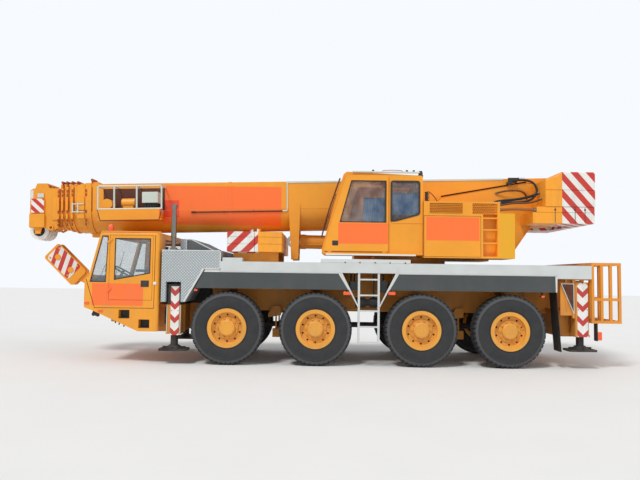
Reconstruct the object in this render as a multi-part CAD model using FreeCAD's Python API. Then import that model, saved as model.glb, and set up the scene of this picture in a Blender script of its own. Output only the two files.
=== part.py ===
import FreeCAD, Part
import math
import os

# Four-axle telescopic crane, millimetres.
# The front is -X, the crane's left side is -Y, Z is up and Z = 0 is the ground.
# X = 0 is half way along the whole crane.

# Running clearances
FIT = 0.1
SLIDE_GAP = 0.5
BODY_GAP = 6

# Wheels and axles
AXLE_1_X = -1555
HALF_WIDTH = 1330
TYRE_R = 685
TYRE_W = 375
RIM_R = 317
RIM_LIP = RIM_R + 48
PAIR_SPACING = 2 * TYRE_R + 280
MIDDLE_SPACING = 2 * TYRE_R + 610
KINGPIN_IN = 242.5
KINGPIN_R = 35
SPINDLE_R = 70
AXLE_R = 95

# Carrier heights, each from the one below
TYRE_ROOM = 55
GUARD_H = 315
DECK_EDGE = 190
DECK_PLATE = 30
FRAME_CLEAR = 295
FRAME_HALF = 430
NECK_H = 470

# Outriggers
JACK_AHEAD = TYRE_R + 325
JACK_BEHIND = 1365
BEAM_W = 225
BEAM_PITCH = BEAM_W + 30
BEAM_H = 380
BEAM_ROOM = 15
HOUSING_WALL = 45
HOUSING_HALF = HALF_WIDTH - 360
JACK_Y = HALF_WIDTH - 200
JACK_SIZE = 260
JACK_COLLAR = 6
LEG_R = 70
FLOAT_X = 530
FLOAT_Y = 390
FLOAT_H = 100

# Cab, engine bay and rear rack
CAB_LENGTH = 1405
CAB_HALF = HALF_WIDTH - 20
CAB_WALL = 45
BAY_LENGTH = 1102
BAY_HEIGHT = 200
BAY_WALL = 30
DOOR_LENGTH = 815
RACK_LENGTH = 554

# Superstructure, from the slewing axis and the top of the slewing ring
SLEW_BACK = 65
RING_H = 90
RING_R = 740
PLATE_T = 50
FLANGE = 14
PIVOT_BACK = 2500
PIVOT_UP = 1230
PIVOT_R = 80
CYL_BASE_BACK = 590
CYL_BASE_UP = 330
CYL_EYE_AHEAD = 2410
CYL_EYE_UP = 370
CYL_R = 142
ROD_R = 90

# Boom
BOOM_TILT = 1.5
BOOM_W = 860
BOOM_TOP = 464
BOOM_LOW = -516
BOOM_WALL = 14
SECTION_STEP = 32
SECTION_WALL = 12
PLATE_IN = BOOM_W / 2 + 20
BASE_LENGTH = 9105
COLLAR = 120

# Places that follow from the sizes
AXLE_X = [AXLE_1_X, AXLE_1_X + PAIR_SPACING]
AXLE_X += [AXLE_X[1] + MIDDLE_SPACING, AXLE_X[1] + MIDDLE_SPACING + PAIR_SPACING]
WHEEL_Y = HALF_WIDTH - TYRE_W / 2
KINGPIN_Y = WHEEL_Y - KINGPIN_IN
GUARD_Z = (2 * TYRE_R + TYRE_ROOM, 2 * TYRE_R + TYRE_ROOM + GUARD_H)
DECK_TOP = GUARD_Z[1] + DECK_EDGE
FRAME_BOTTOM = TYRE_R + FRAME_CLEAR
FRAME_TOP = DECK_TOP - DECK_PLATE
FLOOR_Z = FRAME_BOTTOM + 130
FRONT_X = AXLE_X[0] - JACK_AHEAD
BACK_X = AXLE_X[3] + JACK_BEHIND
REAR_X = BACK_X + 156
CAB_BACK = FRONT_X - 275
CAB_FRONT = CAB_BACK - CAB_LENGTH
BAY_X = (CAB_BACK + 45, CAB_BACK + 45 + BAY_LENGTH)
BAY_TOP = DECK_TOP + BAY_HEIGHT
SLEW_X = AXLE_X[2] - SLEW_BACK
RING_TOP = DECK_TOP + RING_H
PLATE_OUT = PLATE_IN + PLATE_T
CC_IN = PLATE_OUT + FLANGE + 6
PIVOT = (SLEW_X + PIVOT_BACK, RING_TOP + PIVOT_UP)
CYL_BASE = (SLEW_X + CYL_BASE_BACK, RING_TOP + CYL_BASE_UP)
CYL_EYE = (SLEW_X - CYL_EYE_AHEAD, RING_TOP + CYL_EYE_UP)
BEAM_Z = (FLOOR_Z - 450, FLOOR_Z - 450 + BEAM_H)
HOUSING_Z = (BEAM_Z[0] - BEAM_ROOM - HOUSING_WALL, BEAM_Z[1] + BEAM_ROOM + HOUSING_WALL)

# name, X of the beam, side, bottom and top of the jack barrel, underside of the float
OUTRIGGERS = (
    ("front_left", FRONT_X, -1, BEAM_Z[0] - 100, BEAM_Z[1] + 450, BEAM_Z[0] - 410),
    ("front_right", FRONT_X - BEAM_PITCH, 1, BEAM_Z[0] - 100, BEAM_Z[1] + 450, BEAM_Z[0] - 410),
    ("rear_left", BACK_X, -1, BEAM_Z[0] - 60, BEAM_Z[1] + 580, BEAM_Z[0] - 330),
    ("rear_right", BACK_X - BEAM_PITCH, 1, BEAM_Z[0] - 60, BEAM_Z[1] + 580, BEAM_Z[0] - 330),
)
SIDES = (("left", -1), ("right", 1))


def box(x0, x1, y0, y1, z0, z1):
    return Part.makeBox(x1 - x0, y1 - y0, z1 - z0, FreeCAD.Vector(x0, y0, z0))


def span(side, a, b):
    """A pair of distances from the middle plane as low and high Y on one side."""
    return sorted((side * a, side * b))


def side_box(x0, x1, side, a, b, z0, z1):
    y0, y1 = span(side, a, b)
    return box(x0, x1, y0, y1, z0, z1)


def both(x0, x1, a, b, z0, z1):
    return [side_box(x0, x1, side, a, b, z0, z1) for side in (-1, 1)]


def cyl(x, y, z, r, length, axis="z"):
    way = {"x": FreeCAD.Vector(1, 0, 0), "y": FreeCAD.Vector(0, 1, 0), "z": FreeCAD.Vector(0, 0, 1)}
    return Part.makeCylinder(r, length, FreeCAD.Vector(x, y, z), way[axis])


def across(x, z, r, side, a, b):
    """A cylinder along Y on one side."""
    y0, y1 = span(side, a, b)
    return cyl(x, y0, z, r, y1 - y0, "y")


def rod_between(a, b, r):
    a, b = FreeCAD.Vector(*a), FreeCAD.Vector(*b)
    return Part.makeCylinder(r, (b - a).Length, a, b - a)


def outline_face(points):
    return Part.Face(Part.makePolygon(points + points[:1]))


def prism(points, a, b, plane="xz"):
    """A flat outline between two planes, as a solid."""
    if plane == "xz":
        corners, way = [FreeCAD.Vector(p[0], a, p[1]) for p in points], FreeCAD.Vector(0, b - a, 0)
    elif plane == "yz":
        corners, way = [FreeCAD.Vector(a, p[0], p[1]) for p in points], FreeCAD.Vector(b - a, 0, 0)
    else:
        corners, way = [FreeCAD.Vector(p[0], p[1], a) for p in points], FreeCAD.Vector(0, 0, b - a)
    return outline_face(corners).extrude(way)


def side_prism(points, side, a, b):
    y0, y1 = span(side, a, b)
    return prism(points, y0, y1)


def rim_of(points, side, a, b, width):
    """A band of one width inside a flat outline."""
    y0, y1 = span(side, a, b)
    face = outline_face([FreeCAD.Vector(p[0], y0, p[1]) for p in points])
    return face.cut(face.makeOffset2D(-width, 2)).extrude(FreeCAD.Vector(0, y1 - y0, 0))


def moved(points, x, z):
    return [(p[0] + x, p[1] + z) for p in points]


def rounded(solid, radius, chosen):
    """Rounds the straight edges that the test picks by their middle point and direction."""
    edges = []
    for e in solid.Edges:
        if len(e.Vertexes) == 2:
            a, b = e.Vertexes[0].Point, e.Vertexes[1].Point
            if chosen((a + b) * 0.5, b - a):
                edges.append(e)
    return solid.makeFillet(radius, edges) if edges else solid


def join(shapes):
    whole = shapes[0]
    for s in shapes[1:]:
        whole = whole.fuse(s)
    return whole.removeSplitter()


def save(node, shapes):
    shape = Part.makeCompound(shapes) if isinstance(shapes, list) else shapes
    shape.exportStep("parts/" + node + ".step")


os.makedirs("parts", exist_ok=True)

# Wheels, rims and knuckles

half = TYRE_W / 2
BEAD = 28
tyre_profile = (
    (RIM_R, -half + BEAD), (RIM_R + 43, -half + BEAD), (RIM_R + 103, -half + 8), (RIM_R + 193, -half),
    (TYRE_R - 85, -half + 8), (TYRE_R - 30, -half + 30), (TYRE_R, -half + 62), (TYRE_R, half - 62),
    (TYRE_R - 30, half - 30), (TYRE_R - 85, half - 8), (RIM_R + 193, half), (RIM_R + 103, half - 8),
    (RIM_R + 43, half - BEAD), (RIM_R, half - BEAD),
)
# radius and distance from the wheel's middle, outside face first
rim_profile = (
    (RIM_R - 22, half - 8), (RIM_R - 4, half - 8), (RIM_LIP, half - 8), (RIM_LIP, half - BEAD + 2),
    (RIM_R, half - BEAD), (RIM_R, -half + BEAD), (RIM_LIP, -half + BEAD - 2), (RIM_LIP, -half + 8),
    (RIM_R - 22, -half + 8), (RIM_R - 22, 62), (SPINDLE_R + 45, 62), (SPINDLE_R + 45, 5),
    (SPINDLE_R + FIT, 5), (SPINDLE_R + FIT, 45), (0, 45), (0, half - 12), (128, half - 12), (145, half - 26),
    (148, half - 70), (160, half - 75), (205, half - 75), (215, 92), (RIM_R - 40, 92), (RIM_R - 22, 112),
)


def turned(profile, x, y, z, side):
    corners = [FreeCAD.Vector(x + r, y + side * d, z) for r, d in profile]
    return outline_face(corners).revolve(FreeCAD.Vector(x, y, z), FreeCAD.Vector(0, 1, 0), 360)


HAND_HOLES = 10
HOLE_AT = RIM_R - 69
for number, ax in enumerate(AXLE_X, 1):
    for name, side in SIDES:
        y = side * WHEEL_Y
        save("tyre_%d_%s" % (number, name), turned(tyre_profile, ax, y, TYRE_R, side))
        rim = turned(rim_profile, ax, y, TYRE_R, side)
        for k in range(HAND_HOLES):
            turn = 2 * math.pi * (k + 0.5) / HAND_HOLES
            hx, hz = ax + HOLE_AT * math.cos(turn), TYRE_R + HOLE_AT * math.sin(turn)
            rim = rim.cut(across(hx, hz, 19, side, WHEEL_Y + 40, WHEEL_Y + 140))
        save("rim_%d_%s" % (number, name), rim)
        spindle_end = WHEEL_Y + 38
        knuckle = join([
            cyl(ax, side * KINGPIN_Y, TYRE_R - 120, KINGPIN_R + 40, 240),
            across(ax, TYRE_R, SPINDLE_R, side, KINGPIN_Y, spindle_end),
            across(ax, TYRE_R, SPINDLE_R + 40, side, KINGPIN_Y + 40, WHEEL_Y - half + 60),
            side_box(ax - 30, ax + 250, side, KINGPIN_Y - 30, KINGPIN_Y + 30, TYRE_R - 100, TYRE_R - 60),
        ])
        bore = cyl(ax, side * KINGPIN_Y, TYRE_R - 130, KINGPIN_R + FIT, 260)
        save("knuckle_%d_%s" % (number, name), knuckle.cut(bore))

# Axles with their forks and struts, joined by the drive shafts

HUB_R = 225
STRUT_Y = KINGPIN_Y - 300
STRUT_TOP = FRAME_BOTTOM + 270
FORK_IN = KINGPIN_Y - 170
axles = []
for ax, lead in zip(AXLE_X, (1, -1, 1, -1)):
    drum = Part.makeSphere(HUB_R, FreeCAD.Vector(ax, 0, TYRE_R))
    bar = [cyl(ax, -FORK_IN - 20, TYRE_R, AXLE_R, 2 * FORK_IN + 40, "y"), drum]
    for side in (-1, 1):
        bar.append(side_box(ax - 70, ax + 70, side, FORK_IN, FORK_IN + 80, TYRE_R - 200, TYRE_R + 200))
        for z0, z1 in ((TYRE_R + 130, TYRE_R + 190), (TYRE_R - 190, TYRE_R - 130)):
            bar.append(side_box(ax - 60, ax + 60, side, FORK_IN, KINGPIN_Y + 60, z0, z1))
        bar.append(cyl(ax, side * KINGPIN_Y, TYRE_R - 190, KINGPIN_R, 380))
        bar.append(cyl(ax, side * STRUT_Y, TYRE_R, 42, STRUT_TOP - TYRE_R))
        bar.append(cyl(ax, side * STRUT_Y, TYRE_R + 270, 62, STRUT_TOP - TYRE_R - 290))
        y0, y1 = span(side, 320, 380)
        link = ((ax, TYRE_R - 60), (ax, TYRE_R + 40), (ax + lead * 420, FRAME_BOTTOM),
                (ax + lead * 500, FRAME_BOTTOM))
        bar.append(prism(link, y0, y1))
    axles.append(join(bar))
for a, b in zip(AXLE_X, AXLE_X[1:]):
    axles.append(cyl(a + HUB_R + SLIDE_GAP, 0, TYRE_R, 55, b - a - 2 * (HUB_R + SLIDE_GAP), "x"))
save("axles", axles)

# Chassis frame, outrigger boxes, slewing base, strut brackets and tow eyes

FRAME_X = AXLE_X[0] - 430
RIB = 12
BOX_WALL = BEAM_W / 2 + 30
BOXES = [(x - BEAM_PITCH - BOX_WALL, x + BOX_WALL) for x in (FRONT_X, BACK_X)]
frame = [
    box(FRAME_X, REAR_X - 25, -FRAME_HALF, FRAME_HALF, FRAME_BOTTOM, FRAME_TOP),
    Part.makeCone(640, 800, FRAME_TOP - FRAME_BOTTOM - 300, FreeCAD.Vector(SLEW_X, 0, FRAME_BOTTOM + 300)),
    cyl(SLEW_X, 0, FRAME_TOP, 800, DECK_TOP - FRAME_TOP),
    cyl(SLEW_X, 0, DECK_TOP, RING_R - 60, RING_TOP - DECK_TOP - 30),
    cyl(SLEW_X, 0, DECK_TOP + 25, RING_R, RING_TOP - DECK_TOP - 25 - SLIDE_GAP),
]
for z0 in (FRAME_BOTTOM, FRAME_TOP - 70):
    frame.append(box(FRAME_X, REAR_X - 25, -FRAME_HALF - RIB, FRAME_HALF + RIB, z0, z0 + 60))
for k in range(12):
    x = FRAME_X + 300 + k * (REAR_X - FRAME_X - 700) / 11
    frame.append(box(x, x + 16, -FRAME_HALF - RIB, FRAME_HALF + RIB, FRAME_BOTTOM, FRAME_TOP - 10))
for ax in AXLE_X:
    frame += both(ax - 90, ax + 90, FRAME_HALF - 10, STRUT_Y + 80, STRUT_TOP, STRUT_TOP + 60)
    for x in (ax - 90, ax + 70):
        for side in (-1, 1):
            gusset = ((side * FRAME_HALF, STRUT_TOP + 60), (side * (STRUT_Y + 60), STRUT_TOP + 60),
                      (side * FRAME_HALF, STRUT_TOP + 300))
            frame.append(prism(gusset, x, x + 20, "yz"))
# brackets between the paired axles, each with a valve box hung from it
for ax in (AXLE_X[0], AXLE_X[2]):
    mid = ax + PAIR_SPACING / 2
    for side in (-1, 1):
        bracket = moved(((-120, -130), (130, -90), (130, 90), (-20, 90), (-120, -60)), mid, FRAME_BOTTOM)
        frame.append(side_prism(bracket, side, FRAME_HALF - 5, FRAME_HALF + 110))
        frame.append(side_box(mid + 20, mid + 50, side, FRAME_HALF + 40, FRAME_HALF + 70,
                              FRAME_BOTTOM - 360, FRAME_BOTTOM - 90))
        frame.append(side_box(mid - 30, mid + 130, side, FRAME_HALF, FRAME_HALF + 110,
                              FRAME_BOTTOM - 520, FRAME_BOTTOM - 355))
g = SLIDE_GAP
frame = join(frame)
x0, x1 = BOXES[1]
frame = frame.cut(box(x0 - g, x1 + g, -HALF_WIDTH, HALF_WIDTH, FRAME_BOTTOM - 10, HOUSING_Z[1] + g))

# low neck under the cab, on both sides of the front outrigger box, with the tow eyes
neck_low = FLOOR_Z - NECK_H
neck = prism((
    (CAB_FRONT + 245, FLOOR_Z - 390), (FRONT_X - 335, neck_low), (FRONT_X + 185, neck_low),
    (FRAME_X - g, FRAME_BOTTOM), (FRAME_X - g, FLOOR_Z), (CAB_FRONT + 245, FLOOR_Z),
), -FRAME_HALF, FRAME_HALF)
x0, x1 = BOXES[0]
neck = neck.cut(box(x0 - g, x1 + g, -HALF_WIDTH, HALF_WIDTH, neck_low - 10, FLOOR_Z + 10))
TOW_R = 26
for side in (-1, 1):
    eye = box(CAB_FRONT + 85, CAB_FRONT + 300, side * 300 - 30, side * 300 + 30, FLOOR_Z - 300, FLOOR_Z - 210)
    neck = neck.fuse(eye.cut(cyl(CAB_FRONT + 130, side * 300, FLOOR_Z - 310, TOW_R, 110)))
neck = neck.removeSplitter()

# coupling jaw on the rear outrigger box
x = BOXES[1][1] + g
jaw = [box(x, REAR_X - g, -260, 260, FLOOR_Z - 420, FLOOR_Z - 120)]
for z in (FLOOR_Z - 400, FLOOR_Z - 320):
    jaw.append(box(x + 10, REAR_X + 190, -90, 90, z, z + 40))
jaw = join(jaw).cut(cyl(REAR_X + 130, 0, FLOOR_Z - 410, TOW_R, 240))

# outrigger boxes with a channel for each beam
housings = []
for x0, x1 in BOXES:
    housing = [box(x0, x1, -HOUSING_HALF, HOUSING_HALF, HOUSING_Z[0], HOUSING_Z[1])]
    for side in (-1, 1):
        a, b = HOUSING_HALF - 70, HOUSING_HALF - 40
        housing.append(side_box(x0 - 8, x1 + 6, side, a, b, HOUSING_Z[0] - 20, HOUSING_Z[1] + 8))
    housing = join(housing)
    for name, x, side, z0, z1, pad in OUTRIGGERS:
        if not x0 < x < x1:
            continue
        w = BEAM_W / 2 + 10
        low, high = BEAM_Z[0] - BEAM_ROOM, BEAM_Z[1] + BEAM_ROOM
        housing = housing.cut(box(x - w, x + w, -HOUSING_HALF - 10, HOUSING_HALF + 10, low, high))
        pads = []
        for y in (-HOUSING_HALF, HOUSING_HALF - 40):
            pads.append(box(x - w, x + w, y, y + 40, low, BEAM_Z[0] - SLIDE_GAP))
            pads.append(box(x - w, x + w, y, y + 40, BEAM_Z[1] + SLIDE_GAP, high))
        housing = housing.fuse(pads)
    housings.append(housing.removeSplitter())

# arches over the rear jacks, hung from the deck, each with a bracket plate beside it
arches = []
ARCH_IN = JACK_SIZE / 2 + JACK_COLLAR + BODY_GAP
for name, x, side, z0, z1, pad in OUTRIGGERS[2:]:
    a, b = HALF_WIDTH - 125, HALF_WIDTH - 66
    outer, top = ARCH_IN + 38, z1 + 92
    low = z0 + 346
    # the limb next to the rack is cut short at the deck's end
    hoop = side_box(x - outer, min(x + outer, REAR_X - g), side, a, b, low, top)
    hoop = rounded(hoop, 55, lambda mid, way: abs(way.y) > 40 and mid.z > top - 1)
    hoop = hoop.cut(side_box(x - ARCH_IN, x + ARCH_IN, side, a - 5, b + 5, low - 5, z1 + 38))
    near, far = (x - outer - 220, x - outer + 4) if side < 0 else (x + outer - 4, x + outer + 210)
    plate = side_box(near, far, side, a + 20, a + 34, low + 52, z1 - 4)
    corners = ((near + 60, z1 - 70), (far - 60, z1 - 70), ((near + far) / 2, low + 120))
    fixing = side_prism(corners, side, a + 30, a + 44)
    bars = [side_box(x - 90, x + 90, side, a + 10, b - 10, top - 5, FRAME_TOP - g),
            side_box(near + 90, near + 130, side, a - 10, a + 30, z1 - 100, FRAME_TOP - g)]
    arches.append(join([hoop, plate, fixing] + bars))
save("chassis_frame", [frame] + neck.Solids + [jaw] + housings + arches)

for name, x, side, z0, z1, pad in OUTRIGGERS:
    near, far = JACK_Y - JACK_SIZE / 2, HOUSING_HALF - 2
    y0, y1 = sorted((side * (near + 20), -side * far))
    s = JACK_SIZE / 2
    c = s + JACK_COLLAR
    barrel = box(x - s, x + s, side * JACK_Y - s, side * JACK_Y + s, z0, z1)
    barrel = rounded(barrel, 30, lambda mid, way: abs(way.z) > 500)
    beam = join([
        box(x - BEAM_W / 2, x + BEAM_W / 2, y0, y1, BEAM_Z[0], BEAM_Z[1]), barrel,
        box(x - c, x + c, side * JACK_Y - c, side * JACK_Y + c, z0, z0 + 40),
        cyl(x, side * JACK_Y, z1 - 10, 60, 40),
    ])
    beam = beam.cut(cyl(x, side * JACK_Y, z0 + 80, LEG_R + 8, z1 - z0 - 140))
    save("outrigger_" + name, beam.cut(cyl(x, side * JACK_Y, z0 - 1, LEG_R + FIT, 100)))
    plate = box(x - FLOAT_X / 2, x + FLOAT_X / 2, side * JACK_Y - FLOAT_Y / 2, side * JACK_Y + FLOAT_Y / 2,
                pad, pad + 35)
    plate = rounded(plate, 60, lambda mid, way: abs(way.z) > 30)
    dish = Part.makeCone(165, 95, FLOAT_H - 35, FreeCAD.Vector(x, side * JACK_Y, pad + 35))
    ribs = [box(x - 215, x + 215, side * JACK_Y - 8, side * JACK_Y + 8, pad + 30, pad + 75),
            box(x - 8, x + 8, side * JACK_Y - 160, side * JACK_Y + 160, pad + 30, pad + 75)]
    leg = cyl(x, side * JACK_Y, pad + FLOAT_H - 10, LEG_R, z1 - 200 - pad - FLOAT_H + 10)
    save("jack_" + name, join([leg, plate, dish] + ribs))

# Deck with its edge, and what hangs from it: side ladder, lockers and air tanks

edge = GUARD_Z[1]
DECK_X = BAY_X[1]
deck = [box(DECK_X, REAR_X, -HALF_WIDTH, HALF_WIDTH, FRAME_TOP, DECK_TOP)]
deck += both(DECK_X, REAR_X, HALF_WIDTH - 25, HALF_WIDTH, edge, DECK_TOP)
deck += [box(REAR_X - 25, REAR_X, -HALF_WIDTH, HALF_WIDTH, edge, DECK_TOP)]
deck += both(REAR_X - 640, REAR_X, HALF_WIDTH - 25, HALF_WIDTH, edge - 60, DECK_TOP)
MID_X = (AXLE_X[1] + AXLE_X[2]) / 2
LADDER = (MID_X - 185, MID_X + 185)
STILE = 40
for x in LADDER:
    stile = (x - STILE / 2, x + STILE / 2)
    deck.append(side_box(*stile, -1, HALF_WIDTH - 60, HALF_WIDTH - 10, DECK_TOP - 1500, FRAME_TOP))
for k in range(5):
    z = DECK_TOP - 1485 + k * 294
    deck.append(side_box(*LADDER, -1, HALF_WIDTH - 52, HALF_WIDTH - 12, z - 15, z + 15))
for x, lean in ((LADDER[0] - 20, -1), (LADDER[1] + 20, 1)):
    foot, head = (x, DECK_TOP - 830), (x + lean * 340, edge + 10)
    brace = (foot, (x, foot[1] + 50), (head[0] - lean * 40, head[1]), head)
    deck.append(side_prism(brace, -1, HALF_WIDTH - 11, HALF_WIDTH - 2))
# lockers: x low, x high, side, inner and outer distance from the middle, bottom, top
LOCKERS = (
    (MID_X - 345, MID_X - 210, -1, HALF_WIDTH - 530, HALF_WIDTH - 90, edge - 330, edge - 160),
    (MID_X + 210, MID_X + 345, -1, HALF_WIDTH - 530, HALF_WIDTH - 90, edge - 360, edge - 130),
    (MID_X - 345, MID_X + 345, 1, HALF_WIDTH - 550, HALF_WIDTH - 30, edge - 620, edge - 10),
)
for x0, x1, side, a, b, z0, z1 in LOCKERS:
    deck.append(side_box(x0, x1, side, a, b, z0, z1))
    deck += [side_box(x, x + 30, side, a + 40, a + 80, z1 - 5, FRAME_TOP) for x in (x0 + 20, x1 - 50)]
TANK_Y = 320 - HALF_WIDTH
for x in (MID_X - 230, MID_X + 40):
    tank = cyl(x, TANK_Y, edge - 560, 95, 190, "x")
    deck += [tank, box(x + 60, x + 90, TANK_Y - 20, TANK_Y + 20, edge - 480, FRAME_TOP)]
deck.append(cyl(MID_X - 200, TANK_Y, edge - 560, 60, 400, "x"))
deck.append(box(DECK_X + 30, DECK_X + 400, -HALF_WIDTH + 20, -HALF_WIDTH + 310, DECK_TOP, DECK_TOP + 70))
deck = join(deck).cut(cyl(SLEW_X, 0, DECK_TOP - 100, 830, 200))
save("deck_plates", deck)

# Mudguards: name, then front and rear ends of each side panel at its top and bottom

GUARDS = (
    ("front", AXLE_X[0] - 462, AXLE_X[0] - 611, AXLE_X[1] + 428, AXLE_X[1] + 618),
    ("rear", AXLE_X[2] - 440, AXLE_X[2] - 615, AXLE_X[3] + 865, AXLE_X[3] + 865),
)
GUARD_T = 18
# the right flap ends above the float of the jack behind it
PAD_TOP = {1: OUTRIGGERS[3][5] + FLOAT_H + 40}
guards = []
for name, top0, low0, top1, low1 in GUARDS:
    outline = ((top0, GUARD_Z[1]), (top1, GUARD_Z[1]), (low1, GUARD_Z[0]), (low0, GUARD_Z[0]))
    for side in (-1, 1):
        t0, t1 = span(side, FRAME_HALF + RIB + 4, HALF_WIDTH - 26)
        z = GUARD_Z[1] - 50
        panel = [side_prism(outline, side, HALF_WIDTH - 30, HALF_WIDTH - 30 + GUARD_T),
                 box(top0 + 5, top1 - 5, t0, t1, z - 10, z + 10)]
        for upper, lower in ((top0, low0), (top1, low1)):
            end = ((upper - 10, z), (upper + 10, z), (lower + 10, GUARD_Z[0]), (lower - 10, GUARD_Z[0]))
            panel.append(prism(end, t0, t1))
        if name == "rear":
            high, low = GUARD_Z[0] + 60, PAD_TOP.get(side, FRAME_BOTTOM - 660)
            swing = (high - low) * 0.075
            flap = moved(((-4, high), (6, high), (6 + swing, low), (-4 + swing, low)), low1, 0)
            panel.append(side_prism(flap, side, HALF_WIDTH - 400, HALF_WIDTH - 31))
        room = [cyl(SLEW_X, 0, GUARD_Z[0] - 10, 806, GUARD_H + 20)]
        for ax in AXLE_X:
            strut = (ax - 100, ax + 100, side, FRAME_HALF, STRUT_Y + 90)
            room.append(side_box(*strut, GUARD_Z[0] - 10, GUARD_Z[1]))
        guards.append(join(panel).cut(room))
save("mudguards", guards)

# Engine bay behind the cab, with slots for the front jacks and a raised intake

bay_low = FLOOR_Z + 50
slope = (AXLE_X[0] - 795, AXLE_X[0] - 441)
shelf = DECK_TOP - 150
bay_outline = (
    (BAY_X[0], bay_low), (slope[0], bay_low), (slope[1], shelf), (BAY_X[1], shelf), (BAY_X[1], BAY_TOP),
    (BAY_X[0], BAY_TOP),
)
w = BAY_WALL
bay_inner = (
    (BAY_X[0] + w, bay_low - 10), (slope[0] - 1.37 * w, bay_low - 10), (slope[1] - 0.57 * w, shelf + w),
    (BAY_X[1] - w, shelf + w), (BAY_X[1] - w, BAY_TOP - w), (BAY_X[0] + w, BAY_TOP - w),
)
outer = prism(bay_outline, -HALF_WIDTH, HALF_WIDTH)
inner = prism(bay_inner, -HALF_WIDTH + w, HALF_WIDTH - w)


def jack_slot(x, side, top, grow):
    g = JACK_SIZE / 2 + JACK_COLLAR + BODY_GAP + grow
    y0, y1 = span(side, JACK_Y - g, HALF_WIDTH + 200)
    return box(x - g, x + g, y0, y1, HOUSING_Z[0] - 100, top + 45 + grow)


SLOTS = [(x, side, z1) for name, x, side, z0, z1, pad in OUTRIGGERS[:2]]
for x, side, top in SLOTS:
    outer = outer.cut(jack_slot(x, side, top, 0))
    inner = inner.cut(jack_slot(x, side, top, 25))
bay = outer.cut(inner)
x0, x1, x2 = BAY_X[0] + 250, BAY_X[0] + 460, BAY_X[0] + 930
intake = ((x0, BAY_TOP - 5), (x2, BAY_TOP - 5), (x1, BAY_TOP + 230), (x0, BAY_TOP + 230))
bay = bay.fuse(prism(intake, 430 - HALF_WIDTH, HALF_WIDTH - 430))
for k in range(6):
    z = shelf + 60 + k * 45
    bay = bay.cut(side_box(BAY_X[1] - 520, BAY_X[1] - 160, 1, HALF_WIDTH - 12, HALF_WIDTH + 5, z, z + 20))
passage = (FRONT_X + 165, BAY_X[1] + 50, -FRAME_HALF - RIB, FRAME_HALF + RIB)
bay = bay.cut(box(*passage, FLOOR_Z - 100, FRAME_TOP))
save("engine_bay", bay.removeSplitter())
save("carrier_engine", box(BAY_X[0] + 105, FRAME_X - 5, -420, 420, FLOOR_Z, DECK_TOP + 60))

STACK = (BAY_X[0] + 155, 250 - HALF_WIDTH)
stack = join([
    box(STACK[0] - 60, STACK[0] + 60, STACK[1] - 60, STACK[1] + 60, BAY_TOP, BAY_TOP + 50),
    cyl(STACK[0], STACK[1], BAY_TOP, 42, 860),
    cyl(STACK[0], STACK[1], BAY_TOP + 250, 52, 420),
    Part.makeCone(42, 60, 60, FreeCAD.Vector(STACK[0], STACK[1], BAY_TOP + 790)),
    cyl(STACK[0], STACK[1], BAY_TOP + 850, 60, 30),
])
save("exhaust_stack", stack.cut(cyl(STACK[0], STACK[1], BAY_TOP + 400, 34, 600)))

# Carrier cab: outlines from its front and its floor's underside

CAB_H = 1350
CAB_ROOF = FLOOR_Z + CAB_H
cab_side = moved((
    (0, -65), (0, 460), (70, 490), (280, CAB_H), (CAB_LENGTH, CAB_H), (CAB_LENGTH, -505),
    (CAB_LENGTH - 375, -505), (168, -125),
), CAB_FRONT, FLOOR_Z)
cab_inside = [
    (CAB_FRONT + 40, FLOOR_Z + 40), (CAB_FRONT + 40, FLOOR_Z + 440), (CAB_FRONT + 110, FLOOR_Z + 475),
    (CAB_FRONT + 315, CAB_ROOF - 40), (CAB_BACK - 40, CAB_ROOF - 40), (CAB_BACK - 40, FLOOR_Z + 40),
]
under_cab = moved((
    (-5, -110), (170, -170), (CAB_LENGTH - 375, -550), (CAB_LENGTH + 40, -550), (CAB_LENGTH + 40, 0),
    (40, 0), (40, -110),
), CAB_FRONT, FLOOR_Z)
cab = prism(cab_side, -CAB_HALF, CAB_HALF)
cab = rounded(cab, 45, lambda mid, way: abs(way.y) < 1 and abs(mid.y) > CAB_HALF - 1
              and (mid.x < CAB_FRONT + 300 or mid.z > CAB_ROOF - 5) and mid.z > FLOOR_Z)
cab = rounded(cab, 60, lambda mid, way: abs(way.y) > 1000 and mid.z > CAB_ROOF - 5)
inset = CAB_HALF - CAB_WALL
room = prism(cab_inside, -inset, inset)
under = prism(under_cab, -inset, inset)
for x, side, top in SLOTS[1:]:
    cab = cab.cut(jack_slot(x, side, top, 0))
    room = room.cut(jack_slot(x, side, top, 30))
cab = cab.cut(room).cut(under)
screen_low = FLOOR_Z + 530
screen = prism(((CAB_FRONT - 20, screen_low), (CAB_FRONT + 125, screen_low), (CAB_FRONT + 345, CAB_ROOF - 90),
                (CAB_FRONT + 20, CAB_ROOF - 90)), -inset + 60, inset - 60)
cab = cab.cut(screen)
DOOR_X = (CAB_BACK - 125 - DOOR_LENGTH, CAB_BACK - 125)
DOOR_Z = (FLOOR_Z + 70, CAB_ROOF - 65)
quarter = prism(((CAB_FRONT + 105, FLOOR_Z + 400), (DOOR_X[0] - 54, FLOOR_Z + 400),
                 (DOOR_X[0] - 26, CAB_ROOF - 75), (CAB_FRONT + 319, CAB_ROOF - 75)), -HALF_WIDTH, HALF_WIDTH)
cab = cab.cut(quarter)
for side in (-1, 1):
    cab = cab.cut(side_box(DOOR_X[0], DOOR_X[1], side, inset - 1, HALF_WIDTH, DOOR_Z[0], DOOR_Z[1]))
rear_window = (CAB_BACK - 60, CAB_BACK + 40, 400 - CAB_HALF, CAB_HALF - 400)
cab = cab.cut(box(*rear_window, FLOOR_Z + 640, CAB_ROOF - 110))
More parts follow.
